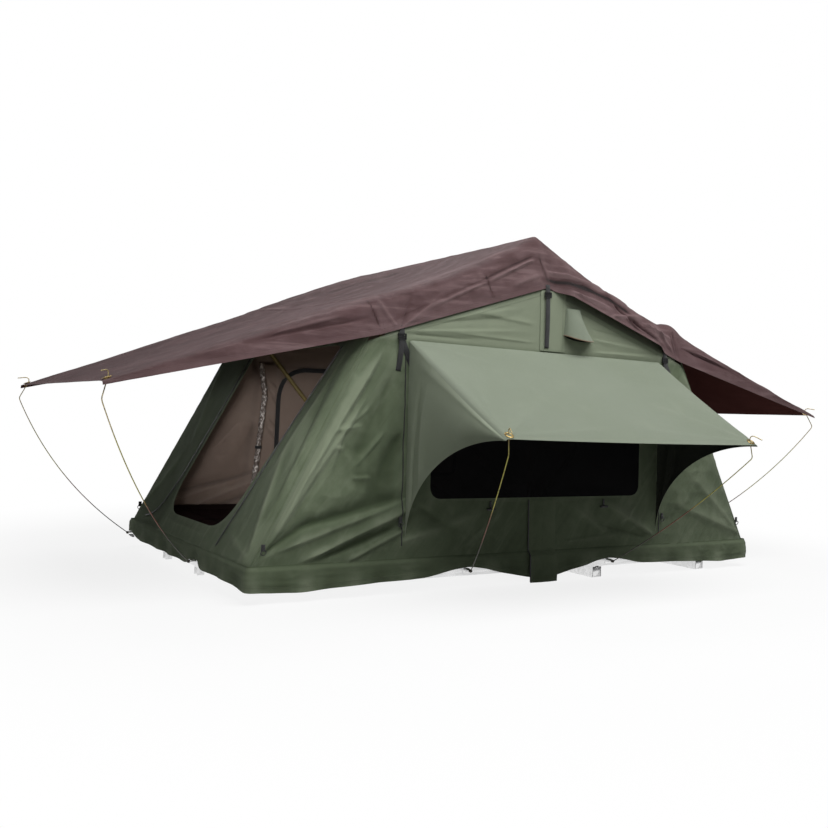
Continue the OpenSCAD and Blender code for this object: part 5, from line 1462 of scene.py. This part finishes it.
def makeRod(node, kind, sx, sy):
    # spring wire in the upright plane of foot and eyelet: bowed run, step in below the eyelet, hook above it
    k, r = rodPiece, rodPiece[kind]
    foot, eye = np.array(r["foot"]), np.array(r["eye"])
    if kind != "window" and sx < 0:
        eye = eye + np.array([flyPiece["leftReach"], 0, -flyPiece["leftDrop"]])
    foot, eye = foot * (sx, sy, 1), eye * (sx, sy, 1)
    reach = np.linalg.norm((eye - foot)[:2])
    start, top = np.array([0, foot[2]]), np.array([reach, eye[2]])
    knee = top + np.array([r["kink"][0], -r["kink"][1]])
    t = np.linspace(0, 1, 60)[:, None]
    chord = unit(knee - start)
    run = mix(start, knee, t) + np.array([chord[1], -chord[0]]) * r["bow"] * 4 * t * (1 - t)
    rise = unit(top - knee)
    away = np.array([rise[1], -rise[0]])
    neck = top + rise * k["neck"]
    w = np.linspace(0, k["hookTurn"], 16)[:, None]
    hook = neck + away * k["hookRadius"] * (1 - np.cos(w)) + rise * k["hookRadius"] * np.sin(w)
    last = away * math.sin(k["hookTurn"]) + rise * math.cos(k["hookTurn"])
    line = np.concatenate([run, [neck], hook[1:], [hook[-1] + last * k["tail"]]])
    line = smooth(resample(line, 240), np.ones(5))
    out = (eye - foot)[:2] / reach
    path = np.column_stack([foot[:2] + out * line[:, :1], line[:, 1:]])
    wire = tubePiece("wire", path, k["radius"], 12, side=(-out[1], out[0], 0))
    s = np.linspace(-0.999, 0.999, 15)
    axis = foot + np.outer(s * k["ball"], (0, 0, 1))
    ball = tubePiece("ball", axis, k["ball"] * np.sqrt(1 - s * s), 16, side=(1, 0, 0))
    first, *others = node.split("_")
    rod = joinPieces(first + "".join(word.capitalize() for word in others), [wire, ball])
    finishPiece(rod, springWire, node, "rod", node)


for half, side in quarters:
    corner = halfOf(half) + "_" + sideOf(side).lower()
    makeRod(corner + "_window_rod", "window", half, side)
    makeRod(corner + "_end_rod", sideOf(side).lower() + "_end", half, side)
print("rods made")


doorPiece = {
    "rollRadius": 0.024, "rollHalf": 0.33, "rollY": -0.125, "rollZ": 0.905, "lift": 0.004, "tieY": 0.2,
    "tieWidth": 0.02, "zipWidth": 0.010, "zipThickness": 0.003, "zipLift": 0.006,
    "zips": [[(-0.55, 0.86), (-0.524, 0.771), (-0.476, 0.592), (-0.45, 0.486), (-0.437, 0.42),
              (-0.428, 0.368), (-0.415, 0.295), (-0.394, 0.217), (-0.377, 0.134)],
             [(0.285, 0.86), (0.285, 0.688), (0.312, 0.42), (0.318, 0.355), (0.33, 0.3), (0.373, 0.2),
              (0.43, 0.165), (0.496, 0.154)]],
}


def circle(centre, radius, count, axisA, axisB):
    # closed circle of points in the plane of two directions
    w = np.linspace(0, 2 * np.pi, count)[:, None]
    return np.asarray(centre) + radius * (np.cos(w) * np.array(axisA) + np.sin(w) * np.array(axisB))


def makeDoorTrim():
    # rolled flap: a tube with pinched rings where the two ties hold it, and a zip down each side of the door
    k = doorPiece
    y = np.linspace(k["rollY"] - k["rollHalf"], k["rollY"] + k["rollHalf"], 70)
    pinch = 1 - 0.22 * np.exp(-((np.abs(y - k["rollY"]) - k["tieY"]) / 0.012) ** 2)
    pinch = pinch + 0.05 * cloud(y, 0 * y, 0.05, 81)
    lift = k["rollRadius"] + k["lift"]
    roll = tubePiece("doorRoll", endPoint(y, k["rollZ"], lift, -1), k["rollRadius"] * pinch, 28)
    finishPiece(roll, tanLining, "flip_base", "canvas", "door_roll")
    ties = []
    for dy in (-k["tieY"], k["tieY"]):
        centre = endPoint(k["rollY"] + dy, k["rollZ"], lift, -1)
        loop = circle(centre, k["rollRadius"] * 0.8 + 0.0012, 40, (1, 0, 0), (0, 0, 1))
        ties.append(ribbon("tie", loop, (0, 1, 0), k["tieWidth"]))
    tie = joinPieces("doorTies", ties)
    finishPiece(tie, blackWebbing, "flip_base", "webbing")
    zips = []
    for line in k["zips"]:
        y, z = smooth(resample(np.array(line), 80), np.ones(9)).T
        path = endPoint(y, z, k["zipLift"], -1)
        zips.append(ribbon("zip", path, (math.sin(0.3), 1, 0), k["zipWidth"], k["zipThickness"]))
    zipper = joinPieces("doorZips", zips)
    finishPiece(zipper, blackMoulding, "flip_base", "moulding")
    foldEnd(-1, roll, tie, zipper)


makeDoorTrim()
print("door trim made")


insidePiece = {
    "flapInset": 0.012, "flapOver": 0.020, "tapeInset": 0.006, "tapeWidth": 0.022, "rollX": -0.63,
    "rollY": 0.600, "rollLow": 0.176, "rollHigh": 0.84, "rollRadius": 0.012, "tieZ": 0.447,
    "tieRadius": 0.0145, "tieWidth": 0.014,
    "rollBend": [(0.176, -0.04), (0.301, -0.027), (0.463, -0.009), (0.56, -0.001), (0.683, 0.012),
                 (0.833, -0.009)],
    "drapeLow": 0.24, "drapeHigh": 0.835, "drapeInset": 0.020,
    "drape": [(-0.574, 0.577, -0.529, 0.535, 0.01, -0.007), (-0.577, 0.521, -0.527, 0.476, 0.01, -0.007),
              (-0.582, 0.761, -0.515, 0.708, 0.012, -0.008), (-0.566, 0.684, -0.528, 0.638, 0.01, -0.007),
              (-0.58, 0.55, -0.53, 0.508, 0.01, 0.006), (-0.575, 0.725, -0.52, 0.672, 0.012, 0.007)],
}


def makeWindowFlap(half):
    # half of the canvas panel that shuts the far window from inside, with a dark tape round its edge
    w, k = wallPiece, insidePiece
    tag = halfOf(half).capitalize()
    u, v = lattice(50, 44)
    x = u * (w["windowHalf"] + k["flapOver"]) + 0 * v
    z = mix(w["windowLow"] - k["flapOver"], w["windowTop"] + k["flapOver"], v) + 0 * u
    wave = 0.003 * cloud(x, z, 0.12, 91) + 0.002 * np.sin(np.pi * v) * np.cos(3 * x)
    points = onWall(x * half, z, -k["flapInset"] - np.abs(wave), 1)
    # painted highlight and shade that follow the flap's wave
    flap = gridPiece("farWindowFlap" + tag, points, (0, -1, 0), fold=np.clip(wave * 120, -1, 1),
                     hem=np.minimum(np.minimum(v, 1 - v), 1 - u) * 0.5)
    finishPiece(flap, tanLining, bodyOf(half), "canvas")
    gridArea(points)
    edgeX, low, high = w["windowHalf"] + 0.006, w["windowLow"] - 0.012, w["windowTop"] + 0.018
    edge = roundedRun([(0, low), (edgeX, low), (edgeX, high), (0, high)], [0.05, 0.16], [30, 30, 30])
    path = onWall(edge[:, 0] * half, edge[:, 1], -k["flapInset"] - k["tapeInset"], 1)
    tape = ribbon("farWindowTape" + tag, path, (0.7, 0, 0.7), k["tapeWidth"], 0.002)
    finishPiece(tape, blackWebbing, bodyOf(half), "webbing")
    dropToFrame(flap, tape)


def makeRolledNet():
    # rolled net that hangs beside the door, crinkled, with a tie
    k = insidePiece
    bend = lambda z: k["rollX"] + np.interp(z, *np.array(k["rollBend"]).T)
    zs = np.linspace(k["rollLow"], k["rollHigh"], 150)
    noise = lambda cell, seed: cloud(zs, 0 * zs, cell, seed)
    radius = k["rollRadius"] * (1 + 0.12 * noise(0.016, 95) + 0.08 * noise(0.007, 96))
    line = np.stack([bend(zs) + 0.004 * noise(0.08, 97), k["rollY"] + 0.003 * noise(0.07, 98), zs], -1)
    net = tubePiece("rolledNet", line, radius, 18, side=(1, 0, 0))
    finishPiece(net, silverNet, "flip_base", "mesh")
    centre = (bend(k["tieZ"]), k["rollY"], k["tieZ"])
    loop = circle(centre, k["tieRadius"], 33, (1, 0, 0), (0, 1, 0))
    tie = ribbon("rolledNetTie", loop, (0, 0, 1), k["tieWidth"])
    finishPiece(tie, blackWebbing, "flip_base", "webbing")
    # gathered edge of the far window's flap, drawn in slanting folds from the roll to the tape
    u = np.linspace(0, 1, 24)[:, None]
    z = np.linspace(k["drapeLow"], k["drapeHigh"], 110)[None, :]
    x = mix(bend(z) + 0.020, -wallPiece["windowHalf"] - 0.028, u)
    pull = creases(x, z + 0 * x, k["drape"])
    points = onWall(x, z, -k["flapInset"] - k["drapeInset"] + pull, 1)
    # painted highlight and shade: the slanting folds are lighter and darker with their pull
    drape = gridPiece("flapDrape", points, (0, -1, 0), fold=np.clip(pull * 130, -1, 1))
    finishPiece(drape, tanLining, "flip_base", "canvas")
    across, along = flatSize(points)
    min(gridArea(points), across * along)
    dropToFrame(net, tie, drape)


makeWindowFlap(1)
makeWindowFlap(-1)
makeRolledNet()
print("inside made")


ringPiece = {
    "wall": [(-1.150, 0.176), (-0.640, 0.250), (0.648, 0.233), (1.120, 0.205)],
    "window": [(-0.25, 0.314), (0.316, 0.314)],
    "zipX": 0.632, "radius": 0.009, "wire": 0.0016, "tab": (0.014, 0.0024), "cord": (0.008, 0.002),
    "cordLength": 0.030, "toggle": (0.018, 0.0042), "tape": (0.0032, 0.002), "tapeLow": 0.165,
    "tapeHigh": 0.850,
}


def makeRings(half, side):
    # tab and ring for tying down, toggles under the window, and a tape where the gusset meets the wall
    k = ringPiece
    tabs, rings = [], []
    for x, z in [p for p in k["wall"] if p[0] * half > 0]:
        lift = 0.012 if z < 0.2 else 0.006
        path = onWall(x, np.linspace(z + 0.016, z - 0.006, 8), lift, side)
        tabs.append(ribbon("tab", path, (1, 0, 0), *k["tab"]))
        axes = ((1, 0, 0), (0, side * 0.35, 0.94))
        path = circle(onWall(x, z - 0.010, lift + 0.004, side), k["radius"], 33, *axes)
        rings.append(tubePiece("ring", path, k["wire"], 8, side=np.cross(*axes), capped=False))
    for x, z in [p for p in k["window"] if p[0] * half > 0]:
        low = z - k["cordLength"]
        tabs.append(ribbon("tab", onWall(x, np.linspace(z, low, 8), 0.004, side), (1, 0, 0), *k["cord"]))
        reach, thick = k["toggle"]
        path = onWall(np.linspace(x - reach, x + reach, 12), low, 0.008, side)
        tabs.append(tubePiece("toggle", path, thick, 12))
    zs = np.linspace(k["tapeLow"], k["tapeHigh"], 90)
    xs = half * k["zipX"] + 0 * zs
    path = onWall(xs, zs, sum(wallShift(xs, zs, side)) + 0.0006, side)
    tabs.append(ribbon("tape", path, (1, 0, 0), *k["tape"]))
    tabs = joinPieces("wallTabs" + tagOf(half, side), tabs)
    finishPiece(tabs, blackWebbing, bodyOf(half), "webbing")
    rings = joinPieces("wallRings" + tagOf(half, side), rings)
    finishPiece(rings, blackMoulding, bodyOf(half), "moulding")
    dropToFrame(tabs, rings)


for side in (-1, 1):
    makeRings(1, side)
    makeRings(-1, side)
print("rings and tapes made")


# floor, light and camera

def makeStage():
    # pale floor that keeps the shadow near the tent and runs out to plain white further off
    s = Shade("studioFloor")
    x, y, z = s.axes()
    rays = s.tree.nodes.new("ShaderNodeLightPath")
    seen = Val(s, rays.outputs["Is Camera Ray"])
    for kind in ("Is Glossy Ray", "Is Transmission Ray"):
        seen = s.math("MAXIMUM", seen, Val(s, rays.outputs[kind]))
    pale = s.tint(s.noise(3.0, 3.0, 0.5).ramp(0.3, 0.7), (0.90, 0.90, 0.90), (0.92, 0.92, 0.92))
    s.set(color=s.tint(seen, (0.30, 0.30, 0.29), pale), rough=0.9, specular=0.0)
    white = s.node("ShaderNodeEmission", None, {"Color": (1, 1, 1, 1), "Strength": 1.0})
    far = (x * x + y * y).power(0.5).ramp(1.5, 2.8, 0.84, 1.0)
    both = s.node("ShaderNodeMixShader", None, {0: far * seen, 1: Val(s, s.skin.outputs[0]), 2: white})
    s.feed(s.out.inputs[0], both)
    mesh = bpy.data.meshes.new("studioFloor")
    reach, below = 60, -0.002
    square = [(x * reach, y * reach, below) for x, y in ((-1, -1), (1, -1), (1, 1), (-1, 1))]
    mesh.from_pydata(square, [], [(0, 1, 2, 3)])
    mesh.materials.append(s.material)
    newObject("studioFloor", mesh)


def stand(thing, right, up, back, place):
    thing.matrix_world = Matrix([[right[i], up[i], back[i], place[i]] for i in range(3)] + [[0, 0, 0, 1]])


def makeLamp(name, kind, place, target, **settings):
    data = bpy.data.lights.new(name, kind)
    for key, value in settings.items():
        setattr(data, key, value)
    lamp = newObject(name, data)
    lamp.visible_camera = kind == "SPOT"
    back = unit(np.subtract(place, target))
    right = unit(np.cross([0, 0, 1.0], back))
    stand(lamp, right, np.cross(back, right), back, place)


# the spot is narrow and soft, and reaches through the open door as daylight would
lamps = {
    "overhead": ("AREA", (0.1, -1.9, 3.2), (0, -0.3, 0.6), {"size": 4.6, "size_y": 1.7, "energy": 118}),
    "backTop": ("AREA", (-0.4, 1.5, 3.6), (0, 0.2, 0.8), {"size": 4.2, "size_y": 1.6, "energy": 46}),
    "innerGlow": ("AREA", (-0.52, -0.30, 0.30), (-0.50, 0.55, 0.95),
                  {"size": 0.3, "size_y": 0.2, "energy": 0.7, "color": (1.0, 0.92, 0.82)}),
    "doorLight": ("SPOT", (-2.75, -3.9, 0.72), (-0.86, -0.02, 0.50),
                  {"energy": 330, "spot_size": math.radians(11), "spot_blend": 0.5,
                   "shadow_soft_size": 0.25}),
}
cameraView = {"place": (-2.3015, -3.4194, 0.6124), "yaw": 31.987, "pitch": 0.22, "roll": 2.16,
              "pixels": 919.04, "frame": 828, "sensor": 36, "far": 200}


def makeCamera():
    # camera fitted to the photo
    k = cameraView
    yaw, pitch, roll = (math.radians(k[angle]) for angle in ("yaw", "pitch", "roll"))
    ahead = np.array([math.sin(yaw) * math.cos(pitch), math.cos(yaw) * math.cos(pitch), math.sin(pitch)])
    right = np.array([math.cos(yaw), -math.sin(yaw), 0])
    up = np.cross(right, ahead)
    data = bpy.data.cameras.new("photoCamera")
    data.sensor_width = k["sensor"]
    data.lens = k["sensor"] * k["pixels"] / k["frame"]
    data.clip_end = k["far"]
    camera = newObject("photoCamera", data)
    rolledRight = right * math.cos(roll) + up * math.sin(roll)
    rolledUp = up * math.cos(roll) - right * math.sin(roll)
    stand(camera, rolledRight, rolledUp, -ahead, k["place"])
    bpy.context.scene.camera = camera


def makeWorld():
    # the backdrop looks white, and lights the tent faintly
    world = bpy.data.worlds.new("studio")
    bpy.context.scene.world = world
    world.use_nodes = True
    tree = world.node_tree
    tree.nodes.clear()
    rays, seen, shown, light, join, out = (tree.nodes.new("ShaderNode" + kind) for kind in (
        "LightPath", "Math", "Background", "Background", "MixShader", "OutputWorld"))
    seen.operation = "MAXIMUM"
    shown.inputs[0].default_value = (1, 1, 1, 1)
    light.inputs[0].default_value = (0.96, 0.98, 1.0, 1)
    light.inputs[1].default_value = 0.20
    for source, target in ((rays.outputs["Is Camera Ray"], seen.inputs[0]),
                           (rays.outputs["Is Transmission Ray"], seen.inputs[1]),
                           (seen.outputs[0], join.inputs[0]), (light.outputs[0], join.inputs[1]),
                           (shown.outputs[0], join.inputs[2]), (join.outputs[0], out.inputs[0])):
        tree.links.new(source, target)


makeStage()
for name, (kind, place, target, settings) in lamps.items():
    makeLamp(name, kind, place, target, **({"shape": "RECTANGLE"} if kind == "AREA" else {}), **settings)
makeCamera()
makeWorld()
bpy.context.scene.view_settings.view_transform = "Standard"
print("stage, lamps and camera ready")
